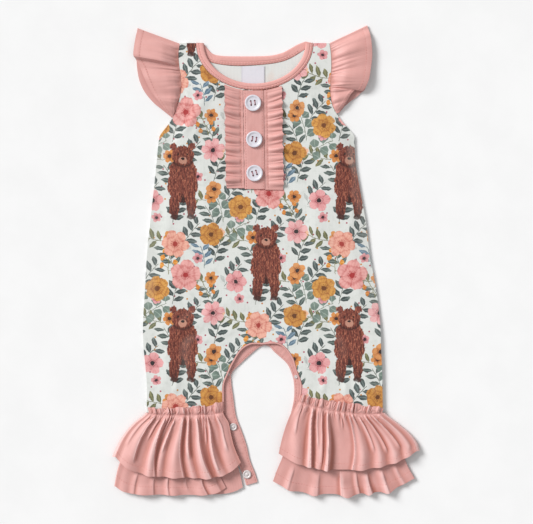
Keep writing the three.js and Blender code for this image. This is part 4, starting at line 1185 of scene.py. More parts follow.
@dataclass
class Sleeve:
    """A flutter sleeve: one strip folded over the shoulder, gathered in front and flat behind."""

    wardrobe: Wardrobe
    sewing: Sewing
    side: int
    table: Table
    gathers: int = 8
    gather_rise: float = 1.2
    crown: float = 2.2
    columns: int = 48
    front_rows: int = 260
    back_rows: int = 60
    hem: float = 6.0

    def grid(self, steps: int) -> tuple[np.ndarray, np.ndarray, dict[str, np.ndarray], np.ndarray]:
        """The strip's places and table values.

        Args:
            steps: how many rows up the sleeve.

        Returns:
            Shares across and up the sleeve, the table's columns and the armhole's x.
        """
        last = len(self.table.rows) - 1
        keyed = Table(("t",) + self.table.columns, tuple((k / last,) + row for k, row in enumerate(self.table.rows)))
        u, t = np.meshgrid(np.linspace(0, 1, self.columns + 1), np.linspace(0, 1, steps + 1))
        row = {name: values for name, values in keyed.read(t).items()}
        return u, t, row, side_at(self.side, row["arm_y"]) + self.side * GAP

    def patches(self) -> list[Patch]:
        """Front, shoulder fold and back."""
        u, t, row, arm_x = self.grid(self.front_rows)
        ends = smooth(t / 0.12) * smooth((1 - t) / 0.12)
        wave = 0.5 * (1 - np.cos(2 * np.pi * self.gathers * t))
        gather = self.gather_rise * wave * (1 - u * 0.75) * smooth(u / 0.12)
        fine_t = t * 19 + 0.8 * ripple(t * 9, u * 1.3, 50 + self.side)
        fine = 0.75 * (0.5 - 0.5 * np.cos(2 * np.pi * fine_t)) * bell(u / 0.5) * smooth(u / 0.06)
        fine = fine * (0.6 + 0.6 * ripple(t * 13, u * 0 + 3, 54 + self.side))
        crown = self.crown * np.sin(np.pi * (u * 0.8 + 0.1)) * smooth(u / 0.2)
        soft = 0.55 * ripple(t * 11, u * 2.2, 60 + self.side) * smooth(u / 0.3)
        rise = (gather + fine + crown + soft + row["lift"] * smooth(u / 0.4)) * ends
        x, y = mix(arm_x, row["hem_x"], u), mix(row["arm_y"], row["hem_y"], u)
        width = np.hypot(row["hem_x"] - arm_x, row["hem_y"] - row["arm_y"])
        band_lift = 0.2 * smooth((width * (u - 1) + self.hem) / 0.8)
        lower = np.stack([x, y, LAYER + np.maximum(0, rise)], -1)
        upper, lower = thicken(lower, WALL * 0.85 + band_lift)
        run = 95.0 * t
        front = Patch(upper, lower, np.stack([run, 45.0 * u], -1), self.side > 0, window=6)
        u, t, row, arm_x = self.grid(self.back_rows)
        x, y = mix(arm_x, row["back_x"], u), mix(row["arm_y"], row["back_y"], u)
        outer = np.stack([x, y, 0 * x], -1)
        inner = np.stack([x, y, 0 * x + WALL * 0.85], -1)
        back = Patch(outer, inner, np.stack([190.0 - 95.0 * t, 45.0 * u], -1))
        fold_outer, fold_inner = [front.outer[-1]], [front.inner[-1]]
        for k in range(1, 9):
            turn = math.pi / 2 - k * math.pi / 8
            for kept, source, target in ((fold_outer, front.outer, back.outer), (fold_inner, front.inner, back.inner)):
                half = (source[-1, :, 2] - target[-1, :, 2]) / 2
                place = source[-1].copy()
                place[:, 1] += half * math.cos(turn)
                place[:, 2] = (source[-1, :, 2] + target[-1, :, 2]) / 2 + half * math.sin(turn)
                kept.append(place)
        back.outer[-1], back.inner[-1] = fold_outer[-1], fold_inner[-1]
        u9 = np.linspace(0, 1, self.columns + 1)
        flat = np.stack(np.broadcast_arrays(np.full((9, 1), 95.0), 45.0 * u9[None, :]), -1)
        fold = Patch(np.stack(fold_outer), np.stack(fold_inner), flat, self.side > 0)
        back.outer, back.inner, back.flat = back.outer[::-1], back.inner[::-1], back.flat[::-1]
        back.flip = self.side > 0
        return [front, fold, back]

    def build(self) -> None:
        """Builds, sews and dresses the sleeve."""
        word = "left" if self.side < 0 else "right"
        patches = self.patches()
        self.wardrobe.hang(
            cloth_object(f"flutter_sleeve_{word}", patches), Slot.PINK, ["pink_jersey", "pink_jersey"],
            f"sleeve_{word}", flat=(0.217, 0.0496 if self.side < 0 else 0.0454), held=Hold.GATHERED,
            rests_on=["floor"], area=0.00788 if self.side < 0 else 0.00761,
        )
        hem = seam_line(patches[0], self.columns * 0.86)
        self.sewing.sew(f"sleeve_stitches_{word}", [StitchRow(hem)], Slot.PINK, "pink_thread")


@dataclass
class Inseam:
    """The snap strip of the back inseam, the narrow rim of the front one and the snaps."""

    wardrobe: Wardrobe
    sewing: Sewing
    steps: int = 120
    across: int = 16

    def strip(self) -> list[Patch]:
        """The snap strip from one leg end over the crotch to the other."""
        halves = []
        for side in (-1, 1):
            end = LEG_BACK_SHARE[side]
            s = np.concatenate([np.linspace(0, end, self.steps, endpoint=False), np.linspace(end, 1, self.steps + 1)])
            u = np.linspace(0, 1, self.across + 1)
            rows = np.stack([offset_from_gap(CROTCH_GAP, side, s, share * STRIP_WIDTH) for share in u], 1)
            lower = np.concatenate([rows, np.zeros(rows.shape[:2] + (1,))], -1)
            upper, lower = thicken(lower, WALL)
            edge = np.minimum(u, 1 - u)[None, :] * STRIP_WIDTH
            puckers = 0.14 * ripple(s[:, None] * 70, u[None, :] * 2, 70 + side)
            upper[..., 2] += (0.35 + puckers) * smooth(edge / 1.2) - 0.3 * bell((edge - 1.9) / 0.45)
            run = run_along(rows[:, 0])
            flat = np.stack(np.broadcast_arrays(side * run[:, None], STRIP_WIDTH * u[None, :]), -1)
            halves.append(Patch(upper, lower, flat, side > 0, window=self.across // 2))
        return halves

    def rim(self) -> list[Patch]:
        """The narrow rolled rim of the front inseam."""
        halves = []
        for side in (-1, 1):
            s = np.linspace(0, 1, self.steps + 1)
            u = np.linspace(0, 1, 7)
            rows = np.stack([offset_from_gap(CROTCH_FRONT, side, s, mix(-FRONT_RIM, -GAP, share)) for share in u], 1)
            lower = np.concatenate([rows, front_height(rows[..., 0], rows[..., 1])[..., None]], -1)
            upper, lower = thicken(lower, WALL)
            upper[..., 2] += 0.35 * np.sqrt(np.clip(1 - (2 * u - 1) ** 2, 0, 1)) - 0.15
            run = run_along(rows[:, 0])
            flat = np.stack(np.broadcast_arrays(side * run[:, None], FRONT_RIM * u[None, :]), -1)
            halves.append(Patch(upper, lower, flat, side > 0, window=3))
        return halves

    def snap(self, name: str, x: float, y: float, radius: float, height: float) -> bpy.types.Object:
        """A moulded snap: rounded rim, hollow middle, small stud.

        Args:
            name: the piece's name.
            x: its middle.
            y: its middle.
            radius: its radius in millimetres.
            height: its height in millimetres.

        Returns:
            The snap.
        """
        r, h = radius, height
        profile = [(0, 0), (r - 0.25, 0), (r, 0.25), (r, h * 0.5), (r * 0.94, h * 0.8), (r * 0.8, h)]
        profile += [(r * 0.68, h * 0.92), (r * 0.58, h * 0.62), (r * 0.4, h * 0.56), (r * 0.34, h * 0.86)]
        profile += [(r * 0.22, h * 0.98), (0, h)]
        piece = lathe_object(name, profile, 32)
        co = np.empty(len(piece.data.vertices) * 3)
        piece.data.vertices.foreach_get("co", co)
        moved = co.reshape(-1, 3) + np.array([x, y, LAYER]) * MM
        piece.data.vertices.foreach_set("co", moved.ravel())
        return piece

    def build(self) -> None:
        """Builds, sews and dresses the inseam's pieces."""
        strip = self.strip()
        self.wardrobe.hang(
            cloth_object("snap_strip", strip), Slot.BINDING, ["pink_jersey", "pink_jersey"], "inseam_strip_back",
            flat=(0.342, 0.013), rests_on=["floor"],
        )
        self.wardrobe.hang(
            cloth_object("front_inseam_rim", self.rim()),
            Slot.BINDING,
            ["pink_jersey", "pink_jersey"],
            "inseam_rim_front",
            # The rim is 3 mm wide over its edge. Here too the width is the least that a sheet call takes. Here too
            # 10 mm is given for its width, so the area alone is true to it.
            flat=(0.179, 0.01),
            rests_on=["snap_strip"],
            area=0.00054,
        )
        rows = [StitchRow(seam_line(half, self.across * share)) for half in strip for share in (0.15, 0.85)]
        self.sewing.sew("snap_strip_stitches", rows, Slot.BINDING, "pink_thread")
        for node, x, y, radius, height in SNAP_PLACES:
            piece = self.snap(f"{node}_cap", x, y, radius, height)
            self.wardrobe.hang(piece, Slot.SNAP, ["snap_resin"], node)


class Tier(Enum):
    """Which of a leg's two ruffles."""

    UPPER = "upper"
    LOWER = "lower"


@dataclass
class Ruffle:
    """One ruffle tier: the folded front, the turn at the outer side and the flat back, all one strip of cloth."""

    wardrobe: Wardrobe
    sewing: Sewing
    side: int
    tier: Tier
    rows: Table
    folds: Table
    creases: Table
    round: float
    dip: float
    gathers: int
    flat: tuple[float, float]
    area: float
    columns: int = 260
    levels: int = 84
    heading_levels: int = 12
    back_columns: int = 24
    turn_steps: int = 10
    hem: float = 0.1
    usual_width: float = 110.0
    usual_height: float = 60.0

    @property
    def upper(self) -> bool:
        """Whether this is the upper tier."""
        return self.tier is Tier.UPPER

    @property
    def back_bottom(self) -> float:
        """Height of the back layer's underside."""
        return 0.0 if self.upper else LAYER

    def base(self, v: np.ndarray) -> np.ndarray:
        """Height of the front layer's underside between folds."""
        return 3 * LAYER + 2 * smooth((v - 0.4) / 0.6) if self.upper else 2 * LAYER + 0 * v

    def opening(self, v: np.ndarray) -> np.ndarray:
        """How far the folds have opened at a level."""
        if self.upper:
            return mix(0.2, 1, smooth(v / 0.8))
        return mix(0.3 * smooth((v - 0.6) / 0.24), 1, smooth((v - 0.84) / 0.16))

    def rise(self, u: np.ndarray, v: np.ndarray) -> tuple[np.ndarray, np.ndarray]:
        """Rise of the folds.

        Args:
            u: shares across the tier.
            v: shares down it, below 0 in the heading.

        Returns:
            The main folds' rise, and the fine creases' and gathers' rise.
        """
        down = np.clip(v, 0, 1)
        main = 0 * u
        for fold in self.folds.each():
            spread = fold["width"] * mix(0.6, 1, down)
            main = main + fold["rise"] * bell((u - mix(fold["top"], fold["hem"], down)) / spread)
        fine = 0 * u
        for crease in self.creases.each():
            where = u - mix(crease["top"], crease["hem"], down ** crease["bend"])
            side_width = np.where(where < 0, crease["left"], crease["right"]) * mix(0.55, 1, down)
            run = smooth((v - crease["start"]) / 0.12) * smooth((crease["end"] - v) / 0.15)
            fine = fine + crease["rise"] * bell(where / side_width) * run
        bunch = u * self.gathers + 0.85 * ripple(u * self.gathers * 0.8, 0 * u, 80 + self.side)
        gather = 0.5 * (1 - np.cos(2 * np.pi * bunch)) * (0.75 + 0.6 * ripple(u * self.gathers * 1.3, 0 * u, 90))
        pinched = 1 - 0.75 * bell(v / 0.035)
        if self.upper:
            fine = fine + gather * (1.5 * bell(v / 0.24) * np.where(v < 0, 1.4, 1)) * pinched
            tiny = 0.5 - 0.5 * np.cos(2 * np.pi * (bunch * 2.6 + 0.3 + 0.9 * ripple(u * 31, v * 12, 92)))
            fine = fine + np.where(v < 0, 0.9, 0.5) * tiny * bell(v / 0.14) * pinched
        soft = 0.45 * ripple(u * self.usual_width / 11, v * 2.2, 100 + self.side) * smooth(v / 0.3)
        soft = soft + 0.16 * ripple(u * self.usual_width / 4.5, v * 5, 104 + self.side)
        ends = smooth(u / 0.03) * smooth((1 - u) / 0.05)
        main = main * self.opening(v) * (1 - 0.6 * bell(v / 0.035))
        return main * ends, (fine + soft) * ends

    def place(self, u: np.ndarray, row: dict[str, np.ndarray]) -> tuple[np.ndarray, np.ndarray]:
        """Where the flat tier's point is across one level."""
        x = mix(row["in_x"], row["out_x"], u)
        return x, mix(row["in_y"], row["out_y"], u) - row["sag"] * (1 - np.abs(2 * u - 1) ** self.round)

    def patches(self) -> list[Patch]:
        """The folded front, and the turn with the back."""
        top = float(self.rows.rows[0][0])
        levels = np.linspace(0, 1, self.levels + 1)
        if top < 0:
            levels = np.concatenate([np.linspace(top, 0, self.heading_levels, endpoint=False), levels])
        u, v = np.meshgrid(np.linspace(0, 1, self.columns + 1), levels)
        row = self.rows.read(v)
        base = self.base(v)
        half = (base + WALL - self.back_bottom) / 2
        row["out_x"] = row["out_x"] - self.side * half
        x, y = self.place(u, row)
        main, fine = self.rise(u, v)
        y = y - np.where(v > 0, self.dip * main * v * v, 0)
        if top < 0:
            scallop = np.clip(-v / -top, 0, 1)
            y = y + scallop * (0.9 * (fine - 1.0) + 1.1 * ripple(u * 29, 0 * u, 96 + self.side))
            x = x + 1.3 * scallop * ripple(u * 24, 2 * v, 97 + self.side)
        z = np.maximum(base + main + fine, base - 0.6)
        hem_step = 0.22 * smooth((v - 1 + self.hem) / 0.012)
        front_upper, front_lower = thicken(np.stack([x, y, z], -1), WALL * 0.85 + hem_step)
        run = 1.35 * 110.0 * u
        front = Patch(front_upper, front_lower, np.stack([run, v * 60.0], -1), self.side > 0, window=9)
        keep = levels >= 0
        start_outer, start_inner = front_upper[keep, -1], front_lower[keep, -1]
        thick = WALL * 0.85
        outer_half = (start_outer[:, 2] - self.back_bottom) / 2
        inner_half = (start_inner[:, 2] - self.back_bottom - thick) / 2
        outer, inner = [start_outer], [start_inner]
        for k in range(1, self.turn_steps + 1):
            turn = math.pi / 2 - k * math.pi / self.turn_steps
            for kept, start, size, middle in (
                (outer, start_outer, outer_half, self.back_bottom + outer_half),
                (inner, start_inner, inner_half, self.back_bottom + thick + inner_half),
            ):
                x = start[:, 0] + self.side * size * math.cos(turn)
                kept.append(np.stack([x, start[:, 1], middle + size * math.sin(turn)], -1))
        level = self.rows.read(levels[keep])
        level["out_x"] = level["out_x"] - self.side * half[keep, 0]
        for share in np.linspace(1, 0, self.back_columns + 1)[1:]:
            x = mix(level["back_x"], start_outer[:, 0], share)
            y = self.place(share, level)[1]
            outer.append(np.stack([x, y, 0 * x + self.back_bottom], -1))
            inner.append(np.stack([x, y, 0 * x + self.back_bottom + thick], -1))
        outer, inner = np.stack(outer, 1), np.stack(inner, 1)
        across = 150.0 + np.linspace(0, 110, outer.shape[1])
        flat = np.stack(np.broadcast_arrays(across[None, :], self.usual_height * levels[keep][:, None]), -1)
        return [front, Patch(outer, inner, flat, self.side > 0)]

    def build(self) -> None:
        """Builds, sews and dresses the tier."""
        word = f"{self.tier.value}_{'left' if self.side < 0 else 'right'}"
        patches = self.patches()
        below = "ruffle_cloth_lower_" + word.split("_")[1] if self.upper else "romper_back"
        self.wardrobe.hang(
            cloth_object(f"ruffle_cloth_{word}", patches), Slot.PINK, ["pink_jersey", "pink_jersey"],
            f"ruffle_{word}", flat=self.flat, held=Hold.GATHERED, rests_on=[below], area=self.area,
        )
        heading = self.heading_levels if self.upper else 0
        rows = [StitchRow(cross_line(patches[0], heading + self.levels * (1 - self.hem)))]
        if self.upper:
            rows.append(StitchRow(cross_line(patches[0], heading)))
        self.sewing.sew(f"ruffle_stitches_{word}", rows, Slot.PINK, "pink_thread")


# Node helpers: every node of every tree is added by add_node
def linear(colour: str) -> tuple[float, float, float, float]:
    """An sRGB hex colour as linear red, green, blue and full alpha."""
    shares = [int(colour[k : k + 2], 16) / 255 for k in (1, 3, 5)]
    return tuple(s / 12.92 if s <= 0.04045 else ((s + 0.055) / 1.055) ** 2.4 for s in shares) + (1.0,)


class Field:
    """A value that varies over a surface: one node output that can be reckoned with."""

    def __init__(self, tree: bpy.types.NodeTree, socket: bpy.types.NodeSocket) -> None:
        """Keeps the socket and the tree that it is in."""
        self.tree = tree
        self.socket = socket

    def math(self, operation: str, *others: Union["Field", float]) -> "Field":
        """This value with others in one step of arithmetic."""
        node = add_node(self.tree, "ShaderNodeMath", dict(enumerate((self, *others))), operation=operation)
        return Field(self.tree, node.outputs[0])

    def vector(self, operation: str, other: object = (0.0, 0.0, 0.0), out: str = "Vector") -> "Field":
        """This vector with another in one step of vector arithmetic."""
        links = {0: self, ("Scale" if operation == "SCALE" else 1): other}
        return Field(self.tree, add_node(self.tree, "ShaderNodeVectorMath", links, operation=operation).outputs[out])

    def fade(self, low: float, high: float) -> "Field":
        """An eased step from 0 to 1 as this value goes from low to high."""
        links = {"Value": self, "From Min": low, "From Max": high}
        node = add_node(self.tree, "ShaderNodeMapRange", links, interpolation_type="SMOOTHSTEP")
        return Field(self.tree, node.outputs["Result"])

    def axes(self) -> tuple["Field", "Field"]:
        """This vector's x and y, each by a dot product, which leaves the renderer's short stack free."""
        return tuple(self.vector("DOT_PRODUCT", axis, out="Value") for axis in ((1, 0, 0), (0, 1, 0)))

    def grain(self, scale: float, detail: float = 2.0, stretch: tuple[float, float, float] = (1, 1, 1)) -> "Field":
        """Cloudy unevenness from 0 to 1 at this place, in a number of features for each unit."""
        place = self.vector("MULTIPLY", tuple(scale * s for s in stretch))
        links = {"Vector": place, "Scale": 1.0, "Detail": detail, "Roughness": 0.55}
        return Field(self.tree, add_node(self.tree, "ShaderNodeTexNoise", links).outputs[0])

    def __add__(self, other: Union["Field", float]) -> "Field":
        """Sum."""
        return self.math("ADD", other)

    def __sub__(self, other: Union["Field", float]) -> "Field":
        """Difference."""
        return self.math("SUBTRACT", other)

    def __mul__(self, other: Union["Field", float]) -> "Field":
        """Product."""
        return self.math("MULTIPLY", other)

    def __truediv__(self, other: Union["Field", float]) -> "Field":
        """Quotient."""
        return self.math("DIVIDE", other)

    def away_from(self, start: float) -> "Field":
        """A number less this value."""
        node = add_node(self.tree, "ShaderNodeMath", {0: start, 1: self}, operation="SUBTRACT")
        return Field(self.tree, node.outputs[0])


def add_node(
    tree: bpy.types.NodeTree, kind: str, links: Optional[dict[Union[int, str], object]] = None, **settings: object
) -> bpy.types.Node:
    """Adds a node with its settings, values and links.

    Args:
        tree: the tree it goes in.
        kind: the node's type.
        links: what goes into its inputs, by name or number: a field, a socket or a plain value.
        settings: the node's own properties.

    Returns:
        The node.
    """
    node = tree.nodes.new(kind)
    for name, value in settings.items():
        setattr(node, name, value)
    for key, value in (links or {}).items():
        given = value.socket if isinstance(value, Field) else value
        if isinstance(given, bpy.types.NodeSocket):
            tree.links.new(given, node.inputs[key])
        elif isinstance(given, str):
            node.inputs[key].default_value = linear(given)
        else:
            node.inputs[key].default_value = given
    return node


def lay(under: Union[Field, str], over: Union[Field, str], amount: Field) -> Field:
    """Lays one colour over another by an amount from 0 to 1."""
    links = {0: amount, 6: under, 7: over}
    node = add_node(amount.tree, "ShaderNodeMix", links, data_type="RGBA", clamp_factor=True)
    return Field(amount.tree, node.outputs[2])


def open_group(
    name: str, inputs: dict[str, str], outputs: dict[str, str]
) -> tuple[bpy.types.ShaderNodeTree, dict[str, Field]]:
    """Starts a node group.

    Args:
        name: the group's name.
        inputs: kind of socket by input name.
        outputs: kind of socket by output name.

    Returns:
        The group's tree and its inputs as fields.
    """
    tree = bpy.data.node_groups.new(name, "ShaderNodeTree")
    for direction, sockets in (("INPUT", inputs), ("OUTPUT", outputs)):
        for label, kind in sockets.items():
            tree.interface.new_socket(label, in_out=direction, socket_type=f"NodeSocket{kind}")
    given = add_node(tree, "NodeGroupInput")
    return tree, {label: Field(tree, given.outputs[label]) for label in inputs}


def use_group(group: bpy.types.ShaderNodeTree, tree: bpy.types.NodeTree, links: dict[str, object]) -> list[Field]:
    """Puts a group in a tree, fills its inputs and gives its outputs."""
    return [Field(tree, output) for output in add_node(tree, "ShaderNodeGroup", links, node_tree=group).outputs]


# Print of the jersey: a generic repeat of garden flowers, leaves, berries and a shaggy bear, in millimetres
@dataclass(frozen=True)
class Bloom:
    """A flower of the print."""

    x: float
    y: float
    turn: float
    radius: float
    petals: float
    notch: float
    heart: float
    layers: float
    petal: str
    shade: str
    core: str
    copies: float = 1.0


@dataclass(frozen=True)
class Sprig:
    """A leafy stem of the print, or with round leaves a eucalyptus stem or a spray of berries."""

    x: float
    y: float
    turn: float
    length: float
    pitch: float
    leaf: float
    width: float
    splay: float
    reach: float
    bend: float
    colour: str
    vein: str
    stem: str
    copies: float = 1.0


BLOOMS = (
    Bloom(-14, 25, 65, 7.4, 6, 0.34, 0.27, 1.0, "#d99250", "#aa5f2e", "#35211f", 2),
    Bloom(16, 3, 30, 5.6, 5, 0.36, 0.30, 1.0, "#e0a0a2", "#b96a70", "#38232a", 2),
    Bloom(-4, -13, 15, 5.0, 5, 0.36, 0.30, 1.0, "#eebfa2", "#d08f6c", "#7a4326", 2),
    Bloom(3, 71, 10, 17.0, 5, 0.30, 0.17, 2.3, "#e8aaa4", "#c26a67", "#a52f30"),
    Bloom(-27, 57, 40, 13.5, 6, 0.20, 0.20, 2.8, "#d79d4e", "#a0602b", "#6f3f1e"),
    Bloom(30, -58, 75, 13.0, 5, 0.22, 0.20, 2.6, "#cf9448", "#9b5b29", "#643818"),
    Bloom(32, 31, 20, 13.0, 7, 0.34, 0.19, 1.0, "#e9b3b2", "#cb7b7e", "#281c20"),
    Bloom(-32, -22, 5, 12.0, 5, 0.32, 0.21, 1.0, "#e6a8a8", "#c46f73", "#261b20"),
    Bloom(-8, -68, 50, 15.0, 6, 0.26, 0.18, 2.4, "#eab09c", "#c87466", "#a23a33"),
    Bloom(33, -10, 30, 8.8, 5, 0.30, 0.26, 1.0, "#dc9a5e", "#b06531", "#33201f"),
)
SPRIGS = (
    Sprig(8, 29, -38, 30, 8.2, 13.5, 5.8, 58, 6.6, 0.10, "#454f4e", "#7d8986", "#565d50", 2),
    Sprig(-13, 3, 24, 28, 8.0, 13.0, 5.4, 58, 6.4, -0.10, "#4a5551", "#84918b", "#5a6152", 2),
    Sprig(12, -20, 75, 26, 8.0, 12.5, 5.2, 58, 6.2, 0.12, "#66684a", "#96946a", "#6b6a48", 2),
    Sprig(-8, -33, -18, 26, 8.2, 13.0, 6.0, 58, 6.4, 0.08, "#3f4948", "#77837f", "#4f5749", 2),
    Sprig(-31, 35, -60, 30, 10.0, 10.5, 11.5, 66, 6.6, 0.1, "#6f8076", "#a0b0a4", "#727d69"),
    Sprig(40, -30, 16, 30, 10.0, 10.5, 11.5, 66, 6.6, -0.1, "#66776e", "#98a99d", "#6c7763"),
    Sprig(-15, 84, -6, 24, 8.0, 5.6, 7.0, 76, 7.2, 0.1, "#d4862f", "#efb868", "#77733f"),
    Sprig(24, 57, 24, 22, 7.6, 5.2, 6.6, 76, 6.8, -0.1, "#c9772c", "#e9a75c", "#77733f"),
    Sprig(22, -82, 10, 24, 7.6, 12.0, 5.2, 58, 6.0, -0.1, "#5b7385", "#8fa5b4", "#66767a"),
)


@dataclass(frozen=True)
class Blob:
    """An ellipse of the bear's figure, mirrored where its x isn't 0."""

    x: float
    y: float
    half_width: float
    half_height: float


BEAR_HEAD = Blob(0, 25, 12, 11)
BEAR_COAT = (
    Blob(0, -6, 16.5, 19), Blob(0, 9, 15, 14), Blob(9, -27, 5.6, 14.5), BEAR_HEAD, Blob(9.6, 34.5, 4.2, 4.4),
)
BEAR_EARS = (Blob(9.7, 34.8, 2.2, 2.4),)
BEAR_PAWS = (Blob(9, -39.5, 5.0, 2.8),)
BEAR_MUZZLE = (Blob(0, 20.2, 5.2, 4.4),)
BEAR_NOSE = (Blob(0, 22.2, 2.2, 1.5), Blob(4.7, 27, 1.05, 1.2))


@dataclass(frozen=True)
class FloralPrint:
    """A watercolour half-drop repeat, printed on the jersey. Sizes in millimetres."""

    width: float = 88.0
    height: float = 172.0
    ground: str = "#dadcd8"
    bleed: float = 1.2
    dot_spacing: float = 11.5

    def repeat_group(self) -> bpy.types.ShaderNodeTree:
        """The group that turns a place on the cloth into a place in the nearest copy of a motif."""
        kinds = {"Place": "Vector", "Centre": "Vector", "Turn": "Float", "Width": "Float", "Height": "Float"}
        tree, given = open_group("half drop repeat", kinds, {"Local": "Vector"})
        x, y = given["Place"].vector("SUBTRACT", given["Centre"]).axes()
        column = (x / given["Width"] + 0.5).math("FLOOR")
        x = x - column * given["Width"]
        y = y - column * (given["Height"] * 0.5)
        y = y - (y / given["Height"] + 0.5).math("FLOOR") * given["Height"]
        back = Field(tree, add_node(tree, "ShaderNodeCombineXYZ", {0: x, 1: y}).outputs[0])
        links = {"Vector": back, "Angle": given["Turn"].away_from(0.0)}
        turned = add_node(tree, "ShaderNodeVectorRotate", links, rotation_type="Z_AXIS")
        add_node(tree, "NodeGroupOutput", {"Local": Field(tree, turned.outputs[0])})
        return tree

    def bloom_group(self) -> bpy.types.ShaderNodeTree:
        """The group that says how much of one flower, of its shade and of its core there is at a place."""
        kinds = {"Local": "Vector", "Mottle": "Float", "Radius": "Float", "Petals": "Float", "Notch": "Float"}
        kinds |= {"Heart": "Float", "Layers": "Float"}
        tree, given = open_group("flower", kinds, {"Cover": "Float", "Shade": "Float", "Core": "Float"})
        x, y = given["Local"].axes()
        r = given["Local"].vector("LENGTH", out="Value") / given["Radius"]
        angle = y.math("ARCTAN2", x)
        mottle = given["Mottle"] - 0.5
        lobes = (angle * given["Petals"] * 0.5).math("COSINE").math("ABSOLUTE")
        outline = (lobes.math("POWER", 0.55).away_from(1.0) * given["Notch"]).away_from(1.0)
        edge = outline - r + mottle * 0.22
        rings = ((r * given["Layers"] + lobes * 0.3 + mottle * 0.9) * (2 * math.pi)).math("COSINE")
        depth = r.away_from(1.0) * 0.45 + rings.fade(0.1, -1.0) * 0.42 + lobes.fade(0.35, 0.0) * 0.35
        depth = depth + mottle * 1.3 + edge.fade(0.1, 0.0) * 0.3
        veins = (angle * 23.0 + mottle * 6.0).math("SINE") * r.fade(0.15, 0.7) * 0.14
        core = (given["Heart"] + mottle * 0.12 - r).fade(-0.03, 0.04)
        ring = ((r - given["Heart"] * 1.45).math("ABSOLUTE")).fade(0.07, 0.02)
        dots = (angle * 15.0).math("COSINE").fade(0.1, 0.7) * ring * 0.8
        amounts = {"Cover": edge.fade(0.0, 0.05), "Shade": depth + veins, "Core": core.math("MAXIMUM", dots)}
        add_node(tree, "NodeGroupOutput", amounts)
        return tree

    def sprig_group(self) -> bpy.types.ShaderNodeTree:
        """The group that says how much of one leafy stem's leaves, their veins and its stalks there is at a place."""
        kinds = {"Local": "Vector", "Mottle": "Float"}
        kinds |= {name: "Float" for name in ("Length", "Pitch", "Leaf", "Width", "Splay", "Reach", "Bend")}
        tree, given = open_group("sprig", kinds, {"Cover": "Float", "Vein": "Float", "Stem": "Float"})
        x, y = given["Local"].axes()
        along = y / given["Length"]
        x = x - along * along * given["Length"] * given["Bend"] * 2.0
        side = x.math("SIGN")
        step = (y + side * given["Pitch"] * 0.25) / given["Pitch"]
        cell = step.math("FLOOR") + 0.15
        from_node = (step - cell) * given["Pitch"]
        at = (cell * given["Pitch"] / given["Length"]).math("ABSOLUTE")
        taper = at.fade(0.75, 0.1) * 0.45 + 0.55
        cosine, sine = given["Splay"].math("COSINE"), given["Splay"].math("SINE")
        out = x.math("ABSOLUTE")
        axis = out * sine + from_node * cosine
        across = (out * cosine - from_node * sine).math("ABSOLUTE")
        end = (axis - given["Reach"]) * 2.0 / given["Leaf"] / taper
        wide = across * 2.0 / given["Width"] / taper
        leaf = (end * end + wide).away_from(1.0)
        mottle = given["Mottle"] - 0.5
        on_stem = at.fade(0.52, 0.48)
        cover = (leaf + mottle * 0.2).fade(0.0, 0.12) * on_stem
        stalk = across.fade(0.45, 0.15) * axis.fade(-0.2, 0.2) * (given["Reach"] - axis).fade(0.0, 0.6) * on_stem
        stem = out.fade(0.5, 0.2) * along.math("ABSOLUTE").fade(0.52, 0.48)
        vein = across.fade(0.55, 0.1) * 0.8 + mottle * 1.2 + (end + 0.2) * 0.25
        add_node(tree, "NodeGroupOutput", {"Cover": cover, "Vein": vein, "Stem": stem.math("MAXIMUM", stalk) * 0.9})
        return tree

    def bear_group(self) -> bpy.types.ShaderNodeTree:
        """The group that paints a shaggy bear, seen from the front, over what is under it."""
        tree, given = open_group("bear", {"Under": "Color", "Local": "Vector"}, {"Colour": "Color"})
        x, y = given["Local"].axes()
        mirrored = Field(tree, add_node(tree, "ShaderNodeCombineXYZ", {0: x.math("ABSOLUTE"), 1: y}).outputs[0])
        streaks = given["Local"].grain(0.62, 3.0, (1.0, 0.26, 1.0))
        strands = given["Local"].grain(1.6, 1.0, (1.0, 0.3, 1.0))

        def figure(blobs: Sequence[Blob], shag: float) -> Field:
            """Several ovals joined into one shape with a shaggy edge.

            Args:
                blobs: the ovals, mirrored about the middle.
                shag: how far the hair frays the edge.

            Returns:
                How far inside the shape a place is, below 0 outside it.
            """
            inside = None
            for blob in blobs:
                place = mirrored.vector("SUBTRACT", (blob.x, blob.y, 0.0))
                place = place.vector("DIVIDE", (blob.half_width, blob.half_height, 1.0))
                one = place.vector("LENGTH", out="Value").away_from(1.0) * min(blob.half_width, blob.half_height)
                inside = one if inside is None else inside.math("MAXIMUM", one)
            return inside + (streaks - 0.5) * shag

        tone = (streaks - 0.5) * 2.8 + (strands - 0.5) * 1.4 + 0.45
        coat = lay("#4a1d16", "#94493a", tone)
        coat = lay(coat, "#bd7a5c", (strands + streaks - 1.04).fade(0.0, 0.22) * 0.8)
        coat = lay(coat, "#3c1611", (y + streaks * 14.0).fade(-12.0, -32.0) * 0.5)
        coat = lay(coat, "#32130f", (x.math("ABSOLUTE") + streaks * 3.0 - 2.6).fade(1.6, 0.0) * y.fade(-14.0, -20.0))
        chin = figure((BEAR_HEAD,), 3.0).math("ABSOLUTE").fade(2.6, 0.0) * y.fade(25.0, 17.0)
        coat = lay(coat, "#38140f", chin * 0.8)
        colour = lay(given["Under"], coat, figure(BEAR_COAT, 4.6).fade(0.0, 0.6))
        colour = lay(colour, "#7d3d33", figure(BEAR_EARS, 1.4).fade(0.0, 0.7))
        colour = lay(colour, "#3a1d19", figure(BEAR_PAWS, 1.0).fade(0.0, 0.6) * 0.85)
        colour = lay(colour, lay("#a3695a", "#cf9d86", strands), figure(BEAR_MUZZLE, 1.6).fade(0.0, 1.0))
        colour = lay(colour, "#241210", figure(BEAR_NOSE, 0.4).fade(0.0, 0.4))
        add_node(tree, "NodeGroupOutput", {"Colour": colour})
        return tree

